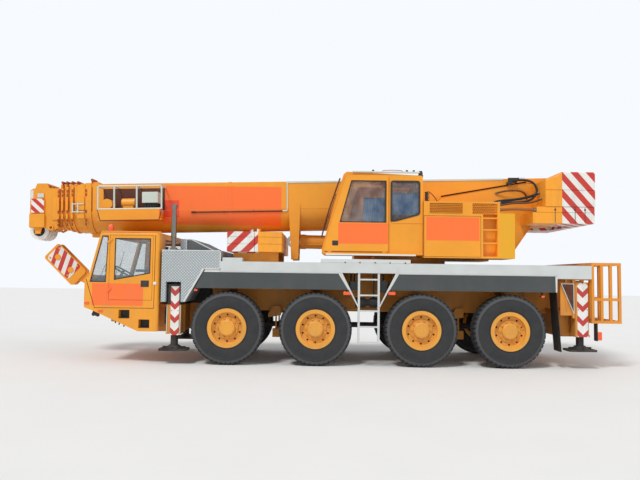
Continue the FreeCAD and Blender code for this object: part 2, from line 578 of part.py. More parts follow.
# steps in the skirt, as the opening's front and rear X, bottom and top, each in a box with its own wall
STEPS = (
    (CAB_FRONT + 665, CAB_FRONT + 870, FLOOR_Z - 270, FLOOR_Z - 110),
    (DOOR_X[1] - 240, DOOR_X[1] - 35, FLOOR_Z - 445, FLOOR_Z - 285),
)
for side in (-1, 1):
    for x0, x1, z0, z1 in STEPS:
        cab = cab.fuse(side_box(x0 - 20, x1 + 20, side, inset - 110, inset, z0 - 20, z1 + 40))
        cab = cab.cut(side_box(x0, x1, side, inset - 90, HALF_WIDTH, z0, z1))
    lamp = (CAB_FRONT - 10, CAB_FRONT + 25, side, CAB_HALF - 490, CAB_HALF - 130)
    cab = cab.cut(side_box(*lamp, FLOOR_Z + 30, FLOOR_Z + 160))
for k in range(5):
    z = FLOOR_Z + 60 + k * 55
    cab = cab.cut(box(CAB_FRONT - 5, CAB_FRONT + 14, -620, 620, z, z + 26))
HINGE_Y = CAB_HALF + 8
HINGE_R = 12
HINGE_X = DOOR_X[0] + 3
HINGES = (DOOR_Z[0] + 150, DOOR_Z[1] - 145)
for side in (-1, 1):
    for z in HINGES:
        cab = cab.cut(cyl(HINGE_X, side * HINGE_Y, z - 3, HINGE_R + 3, 88))
        cab = cab.fuse([cyl(HINGE_X, side * HINGE_Y, z, HINGE_R, 40), cyl(HINGE_X, side * HINGE_Y, z, 5, 80),
                        side_box(HINGE_X - 40, HINGE_X, side, CAB_HALF - 5, CAB_HALF + 15, z, z + 40)])
save("carrier_cab", cab.removeSplitter())

for name, side in SIDES:
    g = BODY_GAP
    leaf = side_box(DOOR_X[0] + g, DOOR_X[1] - g, side, inset, CAB_HALF, DOOR_Z[0] + g, DOOR_Z[1] - g)
    window = ((DOOR_X[0] + 95, DOOR_Z[0] + 370), (DOOR_X[1] - 45, DOOR_Z[0] + 500),
              (DOOR_X[1] - 45, DOOR_Z[1] - 55), (DOOR_X[0] + 95, DOOR_Z[1] - 55))
    leaf = leaf.cut(side_prism(window, side, inset - 10, CAB_HALF + 10))
    panel = ((DOOR_X[0] + 70, DOOR_Z[0] + 60), (DOOR_X[1] - 60, DOOR_Z[0] + 60),
             (DOOR_X[1] - 60, DOOR_Z[0] + 310), (DOOR_X[0] + 70, DOOR_Z[0] + 310))
    leaf = leaf.cut(side_prism(panel, side, inset - 10, inset + 20))
    for z in HINGES:
        strap = (HINGE_X, HINGE_X + 45, side, CAB_HALF - 5, CAB_HALF + 15)
        leaf = leaf.cut(cyl(HINGE_X, side * HINGE_Y, z - 3, HINGE_R + 3, 86))
        leaf = leaf.fuse([cyl(HINGE_X, side * HINGE_Y, z + 40.3, HINGE_R, 40),
                          side_box(*strap, z + 40.3, z + 80.3)])
        leaf = leaf.cut(cyl(HINGE_X, side * HINGE_Y, z, 5 + FIT, 90))
    save("carrier_door_" + name, leaf.removeSplitter())

# Seats, dash and steering wheel

floor = FLOOR_Z + 40
seats = []
SEAT_Y = inset / 2 + 8
for y in (-SEAT_Y, SEAT_Y):
    cushion = rounded(box(CAB_BACK - 640, CAB_BACK - 150, y - 250, y + 250, floor + 330, floor + 450), 40,
                      lambda mid, way: mid.z > floor + 449 or abs(way.z) > 100)
    back = ((-240, 410), (-145, 410), (-55, 1070), (-140, 1070))
    seats.append(join([
        cushion, prism(moved(back, CAB_BACK, floor), y - 240, y + 240),
        box(CAB_BACK - 540, CAB_BACK - 240, y - 120, y + 120, floor, floor + 340),
        box(CAB_BACK - 560, CAB_BACK - 250, y - 285, y - 240, floor + 560, floor + 610),
        box(CAB_BACK - 300, CAB_BACK - 250, y - 285, y - 200, floor + 400, floor + 610),
    ]))
dash = prism(((CAB_FRONT + 115, floor), (CAB_FRONT + 345, floor), (CAB_FRONT + 395, floor + 410),
              (CAB_FRONT + 145, floor + 410)), -inset + 80, inset - 80)
lean = FreeCAD.Vector(0.55, 0, 1)
hub = FreeCAD.Vector(CAB_FRONT + 525, -SEAT_Y, floor + 570)
wheel = Part.makeTorus(210, 16, hub, lean)
column = Part.makeCylinder(28, 320, hub - lean.normalize() * 300, lean)
spokes = [rod_between((hub.x, hub.y - 205, hub.z), (hub.x, hub.y + 205, hub.z), 10)]
save("carrier_cab_interior", seats + [join([dash, column, wheel] + spokes)])

# Hook block stowed before the cab, drawn upright and then leant forward

HOOK_W = 110
SHEAVE_R = 185
hook = []
for y in (-HOOK_W, HOOK_W - 30):
    hook.append(rounded(box(-420, 420, y, y + 30, -210, 210), 60, lambda mid, way: abs(way.y) > 20))
for u in (-215, 165):
    for y in (-60, 0, 60):
        groove = cyl(u, y - 5, 0, SHEAVE_R + 5, 10, "y").cut(cyl(u, y - 5, 0, SHEAVE_R - 28, 10, "y"))
        hook.append(cyl(u, y - 22, 0, SHEAVE_R, 44, "y").cut(groove))
    hook.append(cyl(u, -HOOK_W - 15, 0, 45, 2 * HOOK_W + 30, "y"))
hook += [box(-400, -370, -HOOK_W, HOOK_W, -150, 150), box(370, 400, -HOOK_W, HOOK_W, -150, 150)]
hook = join(hook)
hook.rotate(FreeCAD.Vector(0, 0, 0), FreeCAD.Vector(0, 1, 0), 44)
HOOK_AT = (CAB_FRONT - 845, FLOOR_Z + 740)
hook.translate(FreeCAD.Vector(HOOK_AT[0], 0, HOOK_AT[1]))
arm = ((CAB_FRONT - 655, FLOOR_Z + 450), (CAB_FRONT - 455, FLOOR_Z + 590), (CAB_FRONT - 20, FLOOR_Z + 450),
       (CAB_FRONT - 20, FLOOR_Z + 190), (CAB_FRONT - 55, FLOOR_Z + 190))
hook = join([hook] + [prism(arm, y, y + 30) for y in (-HOOK_W + 35, HOOK_W - 65)]
            + [box(CAB_FRONT - 30, CAB_FRONT, -150, 150, FLOOR_Z + 140, FLOOR_Z + 450)])
save("hook_block", hook)

# Rear rack: a cage of square tube with vertical slats

BAR = 50
RACK_X = REAR_X + RACK_LENGTH
RACK_Z = (FLOOR_Z - 250, DECK_TOP + 60)
rack = []
posts = [REAR_X + BAR / 2 + k * (RACK_LENGTH - BAR) / 3 for k in range(4)]
frames = (-HALF_WIDTH + 10, -460, 410, HALF_WIDTH - 60)
for x in posts:
    for z0 in (RACK_Z[0], RACK_Z[1] - BAR):
        rack.append(box(x - BAR / 2, x + BAR / 2, -HALF_WIDTH + 10, HALF_WIDTH - 10, z0, z0 + BAR))
    for y in frames:
        rack.append(box(x - BAR / 2, x + BAR / 2, y, y + BAR, RACK_Z[0], RACK_Z[1]))
for y in frames:
    for z0 in (RACK_Z[0], RACK_Z[0] + 420, RACK_Z[1] - BAR):
        rack.append(box(REAR_X, RACK_X, y, y + BAR, z0, z0 + BAR))
save("rear_rack", join(rack))

# Counterweight slabs carried on the deck, with two lifting lugs

SLAB_HALF = HALF_WIDTH - 110
SLAB_X = (SLEW_X - 3610, SLEW_X - 2570)
SLAB_SEAM = 5
slabs = []
for x0, x1 in ((SLAB_X[0], SLAB_X[0] + 520), (SLAB_X[0] + 525, SLAB_X[1])):
    for z0, z1 in ((190, 335), (335 + SLAB_SEAM, 465), (465 + SLAB_SEAM, 570)):
        slab = box(x0, x1, -SLAB_HALF, SLAB_HALF, DECK_TOP + z0, DECK_TOP + z1)
        slabs.append(rounded(slab, 12, lambda mid, way: abs(way.z) > 50))
core = box(SLAB_X[0] + 40, SLAB_X[1] - 40, -SLAB_HALF + 40, SLAB_HALF - 40, DECK_TOP + 200, DECK_TOP + 550)
rest = both(SLAB_X[0] + 100, SLAB_X[1] - 80, SLAB_HALF - 340, SLAB_HALF - 220, DECK_TOP, DECK_TOP + 191)
for x in (SLAB_X[0] + 420, SLAB_X[0] + 560):
    lug = both(x, x + 60, SLAB_HALF - 220, SLAB_HALF - 40, DECK_TOP + 540, DECK_TOP + 625)
    rest += lug
save("deck_counterweight", join(slabs + rest + [core]))

# Turntable: side plates, their flanges, cross members and the fixed pins

CW_HALF = HALF_WIDTH - 80
CW_IN = CC_IN

base_z = RING_TOP + 20
side_plate = moved((
    (-760, 20), (1290, 20), (2050, 220), (2410, 740), (2630, 900), (2890, 900), (2890, 1540), (2290, 1620),
    (570, 1300), (-360, 460), (-760, 380),
), SLEW_X, RING_TOP)
turntable = [cyl(SLEW_X, 0, RING_TOP, RING_R, 60)]
for side in (-1, 1):
    turntable.append(side_prism(side_plate, side, PLATE_IN, PLATE_OUT))
    turntable.append(rim_of(side_plate, side, PLATE_OUT, PLATE_OUT + FLANGE, 22))
turntable += [
    box(SLEW_X - 760, SLEW_X + 1290, -PLATE_OUT, PLATE_OUT, base_z, base_z + 50),
    box(SLEW_X + 1590, SLEW_X + 1680, -PLATE_IN - 10, PLATE_IN + 10, RING_TOP + 110, RING_TOP + 560),
    cyl(PIVOT[0], -PLATE_OUT - 8, PIVOT[1], PIVOT_R, 2 * PLATE_OUT + 16, "y"),
]
for side in (-1, 1):
    turntable.append(side_prism(moved(((-200, -270), (220, -270), (120, 130), (-100, 130)), *CYL_BASE),
                                side, 175, 215))
    turntable.append(across(PIVOT[0], PIVOT[1], 150, side, PLATE_IN + 5, PLATE_OUT + 8))
    for x in (-510, 190, 1090):
        turntable.append(side_box(SLEW_X + x, SLEW_X + x + 120, side, PLATE_OUT, CC_IN,
                                  RING_TOP + 80, RING_TOP + 280))
    turntable.append(side_box(PIVOT[0] + 50, PIVOT[0] + 350, side, PLATE_OUT, CW_IN,
                              PIVOT[1] - 310, PIVOT[1] - 130))
turntable.append(cyl(CYL_BASE[0], -215, CYL_BASE[1], 60, 430, "y"))
save("turntable_frame", join(turntable))

WINCH = (SLEW_X + 1310, RING_TOP + 355)
WINCH_R = 235
# radius and half length of the drum and of its shaft
winch = [cyl(WINCH[0], -b, WINCH[1], r, 2 * b, "y") for r, b in ((WINCH_R - 45, 330), (110, PLATE_IN))]
winch += [across(*WINCH, WINCH_R, side, 310, 340) for side in (-1, 1)]
save("winch", join(winch))

# Crane cab on the left of the turntable, drawn from the slewing axis and the ring

CC_OUT = HALF_WIDTH
CC_ROOF = 1640
CC_FRONT = -1813
CC_BACK = 85
DOOR_SKIN = 60
cc_side = ((CC_FRONT, 110), (CC_FRONT, 170), (CC_FRONT + 65, 430), (CC_FRONT + 393, CC_ROOF - 50),
           (CC_FRONT + 453, CC_ROOF), (CC_BACK, CC_ROOF - 60), (CC_BACK, 65), (CC_FRONT + 53, 65))
cc_in = (
    (CC_FRONT + 43, 130), (CC_FRONT + 43, 170), (CC_FRONT + 107, 430), (CC_FRONT + 428, CC_ROOF - 85),
    (CC_FRONT + 463, CC_ROOF - 40), (CC_BACK - 40, CC_ROOF - 98), (CC_BACK - 40, 110), (CC_FRONT + 65, 110),
)
skin = CC_OUT - DOOR_SKIN
crane_cab = prism(moved(cc_side, SLEW_X, RING_TOP), -skin, -CC_IN)
crane_cab = rounded(crane_cab, 40, lambda mid, way: abs(way.y) > 500 and mid.z > RING_TOP + CC_ROOF - 65)
crane_cab = crane_cab.cut(prism(moved(cc_in, SLEW_X, RING_TOP), -skin + 40, -CC_IN - 35))
front_glass = ((CC_FRONT - 47, 480), (CC_FRONT + 203, 480), (CC_FRONT + 443, CC_ROOF - 90),
               (CC_FRONT + 103, CC_ROOF - 90))
crane_cab = crane_cab.cut(prism(moved(front_glass, SLEW_X, RING_TOP), -skin + 60, -CC_IN - 60))


def opening(front_low, front_top, back, low_front, low_back, top, y0, y1):
    """A four-cornered hole in a side wall of the crane cab."""
    corners = ((front_low, low_front), (back, low_back), (back, top), (front_top, top))
    return prism(moved(corners, SLEW_X, RING_TOP), y0, y1)


crane_cab = crane_cab.cut([
    opening(CC_FRONT + 133, CC_FRONT + 493, CC_BACK - 680, 170, 170, CC_ROOF - 100, -CC_OUT - 10, -skin + 60),
    opening(CC_BACK - 600, CC_BACK - 600, CC_BACK - 60, 690, 840, CC_ROOF - 170, -CC_OUT, -skin + 60),
    opening(CC_FRONT + 523, CC_FRONT + 703, CC_BACK - 145, 780, 780, CC_ROOF - 190, -CC_IN - 60, -CC_IN + 20),
])
roof_glass = box(SLEW_X + CC_FRONT + 560, SLEW_X + CC_FRONT + 1150, -skin + 90, -CC_IN - 90,
                 RING_TOP + CC_ROOF - 120, RING_TOP + CC_ROOF + 20)
crane_cab = crane_cab.cut(roof_glass)
RAIL_TOP = 105
x0, x1 = SLEW_X + CC_FRONT + 43, SLEW_X + CC_BACK
crane_cab = crane_cab.fuse([
    box(x0, x1, -CC_OUT + 12, -skin, RING_TOP + RAIL_TOP - 25, RING_TOP + RAIL_TOP),
    box(SLEW_X + CC_BACK - 590, x1, -skin - 9, -skin, RING_TOP + 670, RING_TOP + 695),
])
save("crane_cab", crane_cab.removeSplitter())

leaf = (
    (CC_FRONT + 41, 130), (CC_BACK - 660, 130), (CC_BACK - 660, CC_ROOF - 70), (CC_FRONT + 443, CC_ROOF - 70),
    (CC_FRONT + 65, 310),
)
pane = (CC_FRONT + 323, CC_FRONT + 538, CC_BACK - 690, 670, 670, CC_ROOF - 170)
slider = prism(moved(leaf, SLEW_X, RING_TOP), -CC_OUT + 5, -CC_OUT + 45)
slider = slider.cut(opening(*pane, -CC_OUT - 5, -CC_OUT + 55))
for x in (SLEW_X + CC_FRONT + 103, SLEW_X + CC_BACK - 770):
    shoe = (x, x + 80, -CC_OUT + 12, -CC_OUT + 45)
    slider = slider.fuse(box(*shoe, RING_TOP + RAIL_TOP + SLIDE_GAP, RING_TOP + 150))
save("crane_cab_door", slider.removeSplitter())

cc_floor = RING_TOP + 110
cx, cy = SLEW_X - 780, -(CC_IN + CC_OUT) / 2 + 10
cushion = rounded(box(cx - 150, cx + 330, cy - 215, cy + 215, cc_floor + 370, cc_floor + 490), 40,
                  lambda mid, way: mid.z > cc_floor + 489 or abs(way.z) > 100)
seat = join([
    cushion, prism(((cx + 250, cc_floor + 450), (cx + 350, cc_floor + 450), (cx + 470, cc_floor + 1150),
                    (cx + 370, cc_floor + 1150)), cy - 205, cy + 205),
    box(cx - 50, cx + 250, cy - 85, cy + 85, cc_floor, cc_floor + 380),
    box(cx - 150, cx + 190, cy - 285, cy - 220, cc_floor + 470, cc_floor + 650),
    box(cx - 150, cx + 190, cy + 220, cy + 285, cc_floor + 470, cc_floor + 650),
    box(cx + 20, cx + 100, cy - 285, cy + 285, cc_floor + 430, cc_floor + 480),
    cyl(cx - 100, cy - 252, cc_floor + 640, 14, 130), cyl(cx - 100, cy + 252, cc_floor + 640, 14, 130),
])
desk = moved(((-930, 0), (-710, 0), (-590, 490), (-730, 510)), cx, cc_floor)
save("crane_cab_interior", [seat, prism(desk, cy - 85, cy + 215)])

# Machine housings: the left one has louvred panels, a ladder recess and a lower block behind it

H_BACK = 1806
H_TOP = 1090
H_FRONT = CC_BACK + 10
H_LADDER = (SLEW_X + 1208, SLEW_X + 1478)
H_STEP = (H_BACK - 281, H_TOP - 215)
left_side = ((H_FRONT, 25), (H_BACK, 25), (H_BACK, H_STEP[1]), H_STEP, (H_STEP[0], H_TOP), (H_FRONT, H_TOP))
left = prism(moved(left_side, SLEW_X, RING_TOP), -CC_OUT, -CC_IN)
left = left.cut(box(*H_LADDER, -CC_OUT - 5, -CC_OUT + 170, RING_TOP + 60, RING_TOP + H_TOP - 235))
rungs = [box(*H_LADDER, -CC_OUT + 10, -CC_OUT + 50, RING_TOP + z, RING_TOP + z + 25) for z in (300, 550, 770)]
LOUVRES = 6
LOUVRE_PITCH = 31
blades = []
for x0, x1 in ((H_FRONT + 113, H_FRONT + 731), (H_FRONT + 918, H_FRONT + 1385)):
    x0, x1, top = x0 + SLEW_X, x1 + SLEW_X, RING_TOP + H_TOP
    left = left.cut(box(x0, x1, -CC_OUT - 5, -CC_OUT + 30, top - 225, top - 35))
    for k in range(LOUVRES):
        blade = moved(((30, 0), (4, 0), (4, 6), (30, 20)), -CC_OUT, top - 218 + k * LOUVRE_PITCH)
        blades.append(prism(blade, x0 - 5, x1 + 5, "yz"))
left = join([left] + rungs + blades)
right = prism(moved(((-1110, 25), (H_BACK, 25), (H_BACK, 880), (-1010, 880), (-1110, 780)), SLEW_X, RING_TOP),
              CC_IN, CC_OUT)
right = rounded(right, 40, lambda mid, way: abs(way.x) > 900 and mid.z > RING_TOP + 800)
ring_room = cyl(SLEW_X, 0, RING_TOP - 20, RING_R + 5, 85)
save("machine_housing", [left.cut(ring_room), right.cut(ring_room)])

# Counterweight: wings beside the boom, joined behind it, drawn from the boom's pivot

wing = ((-85, -200), (-85, 310), (130, 390), (228, 465), (855, 465), (855, -200))
CW_SLABS = ((-250, -310, -205), (-325, -520, -315))
px, pz = PIVOT
block = [box(px + 640, px + 850, -CW_IN - 10, CW_IN + 10, pz - 200, pz + 460),
         box(px + 650, px + 835, -CW_HALF + 60, CW_HALF - 60, pz - 510, pz - 150)]
for side in (-1, 1):
    part = side_prism(moved(wing, px, pz), side, CW_IN, CW_HALF)
    block.append(rounded(part, 25, lambda mid, way: abs(way.y) < 1 and abs(mid.y) > CW_HALF - 1
                         and mid.z > pz + 200))
    block.append(side_box(px - 10, px + 690, side, CW_IN + 20, CW_HALF - 60, pz - 510, pz - 150))
    for x0, z0, z1 in CW_SLABS:
        block.append(side_box(px + x0, px + 845, side, CW_IN, CW_HALF - 10, pz + z0, pz + z1))
for x0, z0, z1 in CW_SLABS:
    block.append(box(px + 640, px + 845, -CW_IN - 10, CW_IN + 10, pz + z0, pz + z1))
weight = join(block)
for side in (-1, 1):
    weight = weight.cut(side_box(px - 200, px + 900, side, CW_HALF - 12, CW_HALF + 10, pz + 110, pz + 122))
    weight = weight.fuse(side_box(px + 250, px + 400, side, 860, 890, pz + 455, pz + 470))
save("counterweight", weight.removeSplitter())


# Boom sections: straight sides over a half-round bottom, each a set step inside the last

def boom_outline(inset):
    r = BOOM_W / 2 - inset
    top = BOOM_TOP - inset
    centre = BOOM_LOW + BOOM_W / 2
    a = FreeCAD.Vector(0, -r, centre)
    b = FreeCAD.Vector(0, 0, centre - r)
    c = FreeCAD.Vector(0, r, centre)
    d = FreeCAD.Vector(0, r, top)
    e = FreeCAD.Vector(0, -r, top)
    edges = [Part.Arc(a, b, c).toShape(), Part.makeLine(c, d), Part.makeLine(d, e), Part.makeLine(e, a)]
    return Part.Face(Part.Wire(edges))


def tube(inset, front, back, wall):
    """Section from back to front, as distances ahead of the pivot."""
    outer = boom_outline(inset)
    outer.translate(FreeCAD.Vector(-front, 0, 0))
    solid = outer.extrude(FreeCAD.Vector(front - back, 0, 0))
    if wall:
        inner = boom_outline(inset + wall)
        inner.translate(FreeCAD.Vector(-front - 1, 0, 0))
        solid = solid.cut(inner.extrude(FreeCAD.Vector(front - back + 2, 0, 0)))
    return solid


def place_boom(shape):
    shape.rotate(FreeCAD.Vector(0, 0, 0), FreeCAD.Vector(0, 1, 0), -BOOM_TILT)
    shape.translate(FreeCAD.Vector(PIVOT[0], 0, PIVOT[1]))
    return shape


# the cylinder's eye in the boom's own axes
tilt = math.radians(BOOM_TILT)
ex, ez = CYL_EYE[0] - PIVOT[0], CYL_EYE[1] - PIVOT[1]
EYE = (ex * math.cos(tilt) - ez * math.sin(tilt), ex * math.sin(tilt) + ez * math.cos(tilt))
TAIL = 350
LIP = 20
base = [
    tube(0, BASE_LENGTH - COLLAR, -TAIL, BOOM_WALL),
    tube(-LIP, BASE_LENGTH, BASE_LENGTH - COLLAR, SECTION_STEP + LIP - SLIDE_GAP),
    tube(2, 20 - TAIL, -TAIL, 0), tube(-8, BASE_LENGTH - 2900, BASE_LENGTH - 2960, 20),
    tube(-8, BASE_LENGTH - 6100, BASE_LENGTH - 6160, 20),
    # rope block on top of the collar and rest foot under it
    box(-BASE_LENGTH + 10, -BASE_LENGTH + 150, -120, 120, BOOM_TOP, BOOM_TOP + 90),
    box(-BASE_LENGTH + 20, -BASE_LENGTH + 170, -90, 90, BOOM_LOW - 75, BOOM_LOW + 20),
]
half_boom = BOOM_W / 2
for side in (-1, 1):
    lug = ((EYE[0] - 110, 0), (EYE[0] + 130, 0), (EYE[0] + 70, EYE[1] - 130), (EYE[0] - 70, EYE[1] - 130))
    base.append(side_prism(lug, side, half_boom - 5, half_boom + 17))
    base.append(across(EYE[0], EYE[1], 70, side, 155, half_boom + 17))
    base.append(across(0, 0, PIVOT_R + 50, side, half_boom - 30, half_boom + 10))
# equipment tray and its guard rails on the left of the boom's front
TRAY = (BASE_LENGTH - 350, BASE_LENGTH - 1625)
tray_y = (-half_boom + 5, -half_boom - 330)
tray_low = -310
base.append(box(-TRAY[0], -TRAY[1], tray_y[1], tray_y[0], tray_low, tray_low + 25))
tray_rim = tray_low + 215
tray_side = ((-TRAY[0], tray_rim), (-TRAY[0] + 60, tray_low), (-TRAY[1] - 60, tray_low), (-TRAY[1], tray_rim))
base.append(prism(tray_side, tray_y[1], tray_y[1] + 15))
for x in (-TRAY[0] + 60, -TRAY[1] - 75):
    base.append(box(x, x + 15, tray_y[1], tray_y[0], tray_low, tray_rim))
rail_x = (-TRAY[0] + 10, -TRAY[0] + 330, -TRAY[0] + 775, -TRAY[1] - 10)
for x in rail_x:
    base.append(cyl(x, tray_y[1] + 18, tray_low + 150, 16, 530))
    base.append(cyl(x, tray_y[1] + 18, tray_low + 680, 16, tray_y[0] - tray_y[1] - 18, "y"))
for z in (tray_low + 225, tray_low + 680):
    base.append(cyl(rail_x[0], tray_y[1] + 18, z, 16, rail_x[3] - rail_x[0], "x"))
base.append(cyl(-TRAY[0] + 170, tray_y[1] + 60, tray_low + 330, 105, 265, "y"))
base.append(box(-TRAY[0] + 120, -TRAY[0] + 220, tray_y[1] + 90, tray_y[0], tray_low + 20, tray_low + 260))
base.append(cyl(-TRAY[0] + 450, tray_y[1] + 170, tray_low + 360, 90, 260, "x"))
base.append(box(-TRAY[0] + 480, -TRAY[0] + 680, tray_y[1] + 100, tray_y[0], tray_low + 20, tray_low + 290))
base.append(box(-TRAY[0] + 870, -TRAY[0] + 1180, tray_y[1] + 60, tray_y[0], tray_low + 350, tray_low + 560))
base.append(box(-TRAY[0] + 900, -TRAY[0] + 1140, tray_y[1] + 120, tray_y[0], tray_low + 20, tray_low + 355))
base = join(base).cut(cyl(0, -half_boom - 60, 0, PIVOT_R + FIT, BOOM_W + 120, "y"))
save("boom_base", place_boom(base))

# Inner sections: each ends in a thin collar a little ahead of the one before, all with crests at one height

CREST = BOOM_TOP + 40
COLLAR_T = 34
# how far each section stands ahead of the one around it, and the half width of its crest
COLLARS = ((290, 250), (115, 225), (110, 200), (95, 175))
HEAD = 573
# raised panel, lower box, sighting block and rear plate on each cheek of the head:
# front and rear from the last collar, thickness, bottom, top
CHEEK = ((-543, -272, 30, -97, 200), (-566, -262, 50, -390, -115), (-419, -284, 20, 215, 306),
         (-110, 5, 22, -240, 260))
GAP = 5


def collar(inset, front, thick, crest, wall):
    """A plate round the section, with two side pads and a crest on top."""
    half_w = BOOM_W / 2 - inset
    plate = tube(inset, front, front - thick, wall)
    top = [box(-front, thick - front, -crest, crest, BOOM_TOP - inset - 4, CREST)]
    for side in (-1, 1):
        top.append(side_box(-front, thick - front, side, half_w - 4, half_w + 24, -60, 190))
        top.append(side_box(-front, thick - front, side, half_w - 4, half_w + 18, -230, -130))
    return [plate] + top


front = BASE_LENGTH
for i, (length, crest) in enumerate(COLLARS, 1):
    back = front + GAP
    front = front + length
    inset = i * SECTION_STEP
    tail = 250 + 60 * i
    lip = SECTION_STEP - 10
    sleeve = SECTION_STEP - SLIDE_GAP
    section = [tube(inset, back, tail, SECTION_WALL)]
    if i < 4:
        section.append(tube(inset, front, back, sleeve))
        section += collar(inset - lip, front, COLLAR_T, crest, sleeve + lip)
        if i == 1:
            section += collar(inset - lip, front - 120, 150, crest, sleeve + lip)
    else:
        section += [tube(inset, front, back, 0)] + collar(inset - lip, front, COLLAR_T, crest, 0)
        head_side = moved((
            (10, 400), (-190, 415), (-210, 470), (-265, 512), (-400, 512), (-450, 470), (-470, 410),
            (-505, 410), (-HEAD, 370), (-HEAD, -396), (-490, -396), (-460, -520), (-360, -520),
            (-330, -396), (-262, -396), (-130, -470), (10, -400),
        ), -front, 0)
        head_half = BOOM_W / 2 - 130
        lower, upper = (-front - 410, -454), (-front - 350, 180)
        for a, b in ((head_half - 35, head_half), (60, 85)):
            section += [side_prism(head_side, side, a, b) for side in (-1, 1)]
        for x0, x1, thick, z0, z1 in CHEEK:
            section += both(x0 - front, x1 - front, head_half - 5, head_half + thick, z0, z1)
        section += [box(-front - 60, -front + 10, -head_half, head_half, -400, 400),
                    cyl(lower[0], -head_half, lower[1], 45, 2 * head_half, "y"),
                    cyl(upper[0], -head_half, upper[1], 40, 2 * head_half, "y"),
                    box(-front - 440, -front - 220, -head_half, head_half, 480, 510)]
        for (x, z), r in ((lower, 190), (upper, 150)):
            for y in (-225, -130, 40, 130, 190):
                section.append(cyl(x, y, z, r, 40, "y"))
        section += [across(-front - 130, -400, 55, side, head_half - 35, head_half + 40) for side in (-1, 1)]
    section = join(section)
    if i == 4:
        section = section.cut(cyl(-front - 130, -head_half - 50, -400, 30, 2 * head_half + 100, "y"))
    save("boom_section_%d" % i, place_boom(section))

# Luffing cylinder, drawn along X from the base pin and then turned to its eye

def along(shape):
    dx, dz = CYL_EYE[0] - CYL_BASE[0], CYL_EYE[1] - CYL_BASE[1]
    shape.rotate(FreeCAD.Vector(0, 0, 0), FreeCAD.Vector(0, 1, 0), -math.degrees(math.atan2(dz, dx)))
    shape.translate(FreeCAD.Vector(CYL_BASE[0], 0, CYL_BASE[1]))
    return shape


CYL_LENGTH = math.hypot(CYL_EYE[0] - CYL_BASE[0], CYL_EYE[1] - CYL_BASE[1])
BARREL_END = CYL_LENGTH - 150
barrel = join([
    cyl(100, 0, 0, CYL_R, BARREL_END - 100, "x"), cyl(0, -165, 0, 120, 330, "y"),
    cyl(BARREL_END - 120, 0, 0, CYL_R + 10, 120, "x"), box(0, 140, -120, 120, -120, 120),
    rod_between((300, -CYL_R - 12, 60), (BARREL_END - 60, -CYL_R - 12, 60), 11),
    box(BARREL_END - 80, BARREL_END - 40, -CYL_R - 24, -CYL_R + 20, 45, 75),
    box(320, 360, -CYL_R - 24, -CYL_R + 20, 45, 75),
])
barrel = barrel.cut(cyl(150, 0, 0, ROD_R + 6, BARREL_END - 250, "x")).cut(
    cyl(150, 0, 0, ROD_R + FIT, BARREL_END, "x")).cut(cyl(0, -170, 0, 60 + FIT, 340, "y"))
save("luffing_barrel", along(barrel))
rod = join([
    cyl(200, 0, 0, ROD_R, CYL_LENGTH - 260, "x"), cyl(CYL_LENGTH, -120, 0, 125, 240, "y"),
    box(CYL_LENGTH - 120, CYL_LENGTH - 50, -85, 85, -85, 85),
])
save("luffing_rod", along(rod.cut(cyl(CYL_LENGTH, -121, 0, 72, 242, "y"))))
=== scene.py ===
import math
import bpy
import bmesh
from mathutils import Matrix, Vector


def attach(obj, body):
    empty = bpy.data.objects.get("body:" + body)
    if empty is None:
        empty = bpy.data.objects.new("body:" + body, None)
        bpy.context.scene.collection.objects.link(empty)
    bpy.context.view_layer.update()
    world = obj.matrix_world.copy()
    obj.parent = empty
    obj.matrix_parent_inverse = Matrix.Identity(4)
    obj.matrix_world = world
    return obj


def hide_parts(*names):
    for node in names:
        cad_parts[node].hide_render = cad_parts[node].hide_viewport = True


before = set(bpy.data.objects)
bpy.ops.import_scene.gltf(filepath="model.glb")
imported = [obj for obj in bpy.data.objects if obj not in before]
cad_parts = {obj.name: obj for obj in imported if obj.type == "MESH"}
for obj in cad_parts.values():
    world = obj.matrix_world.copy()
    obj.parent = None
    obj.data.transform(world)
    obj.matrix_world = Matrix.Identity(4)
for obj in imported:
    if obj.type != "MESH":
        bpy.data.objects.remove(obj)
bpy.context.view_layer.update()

# Row frame, metres: the crane faces -X, its left side is -Y, the ground is Z = 0.

AXLE_X = (-1.555, 0.095, 2.075, 3.725)
HALF_WIDTH = 1.33
TYRE_R = 0.685
TYRE_W = 0.375
WHEEL_Y = HALF_WIDTH - TYRE_W / 2
SIDES = (("left", -1), ("right", 1))


# Materials

ORANGE = "#F8A328"
PATCH = "#FF7531"
WHITE = "#ECEAE4"
DARK = "#2E2A27"


def srgb(hex_colour):
    def linear(v):
        return v / 12.92 if v <= 0.04045 else ((v + 0.055) / 1.055) ** 2.4
    return tuple(linear(int(hex_colour[k:k + 2], 16) / 255) for k in (1, 3, 5)) + (1.0,)


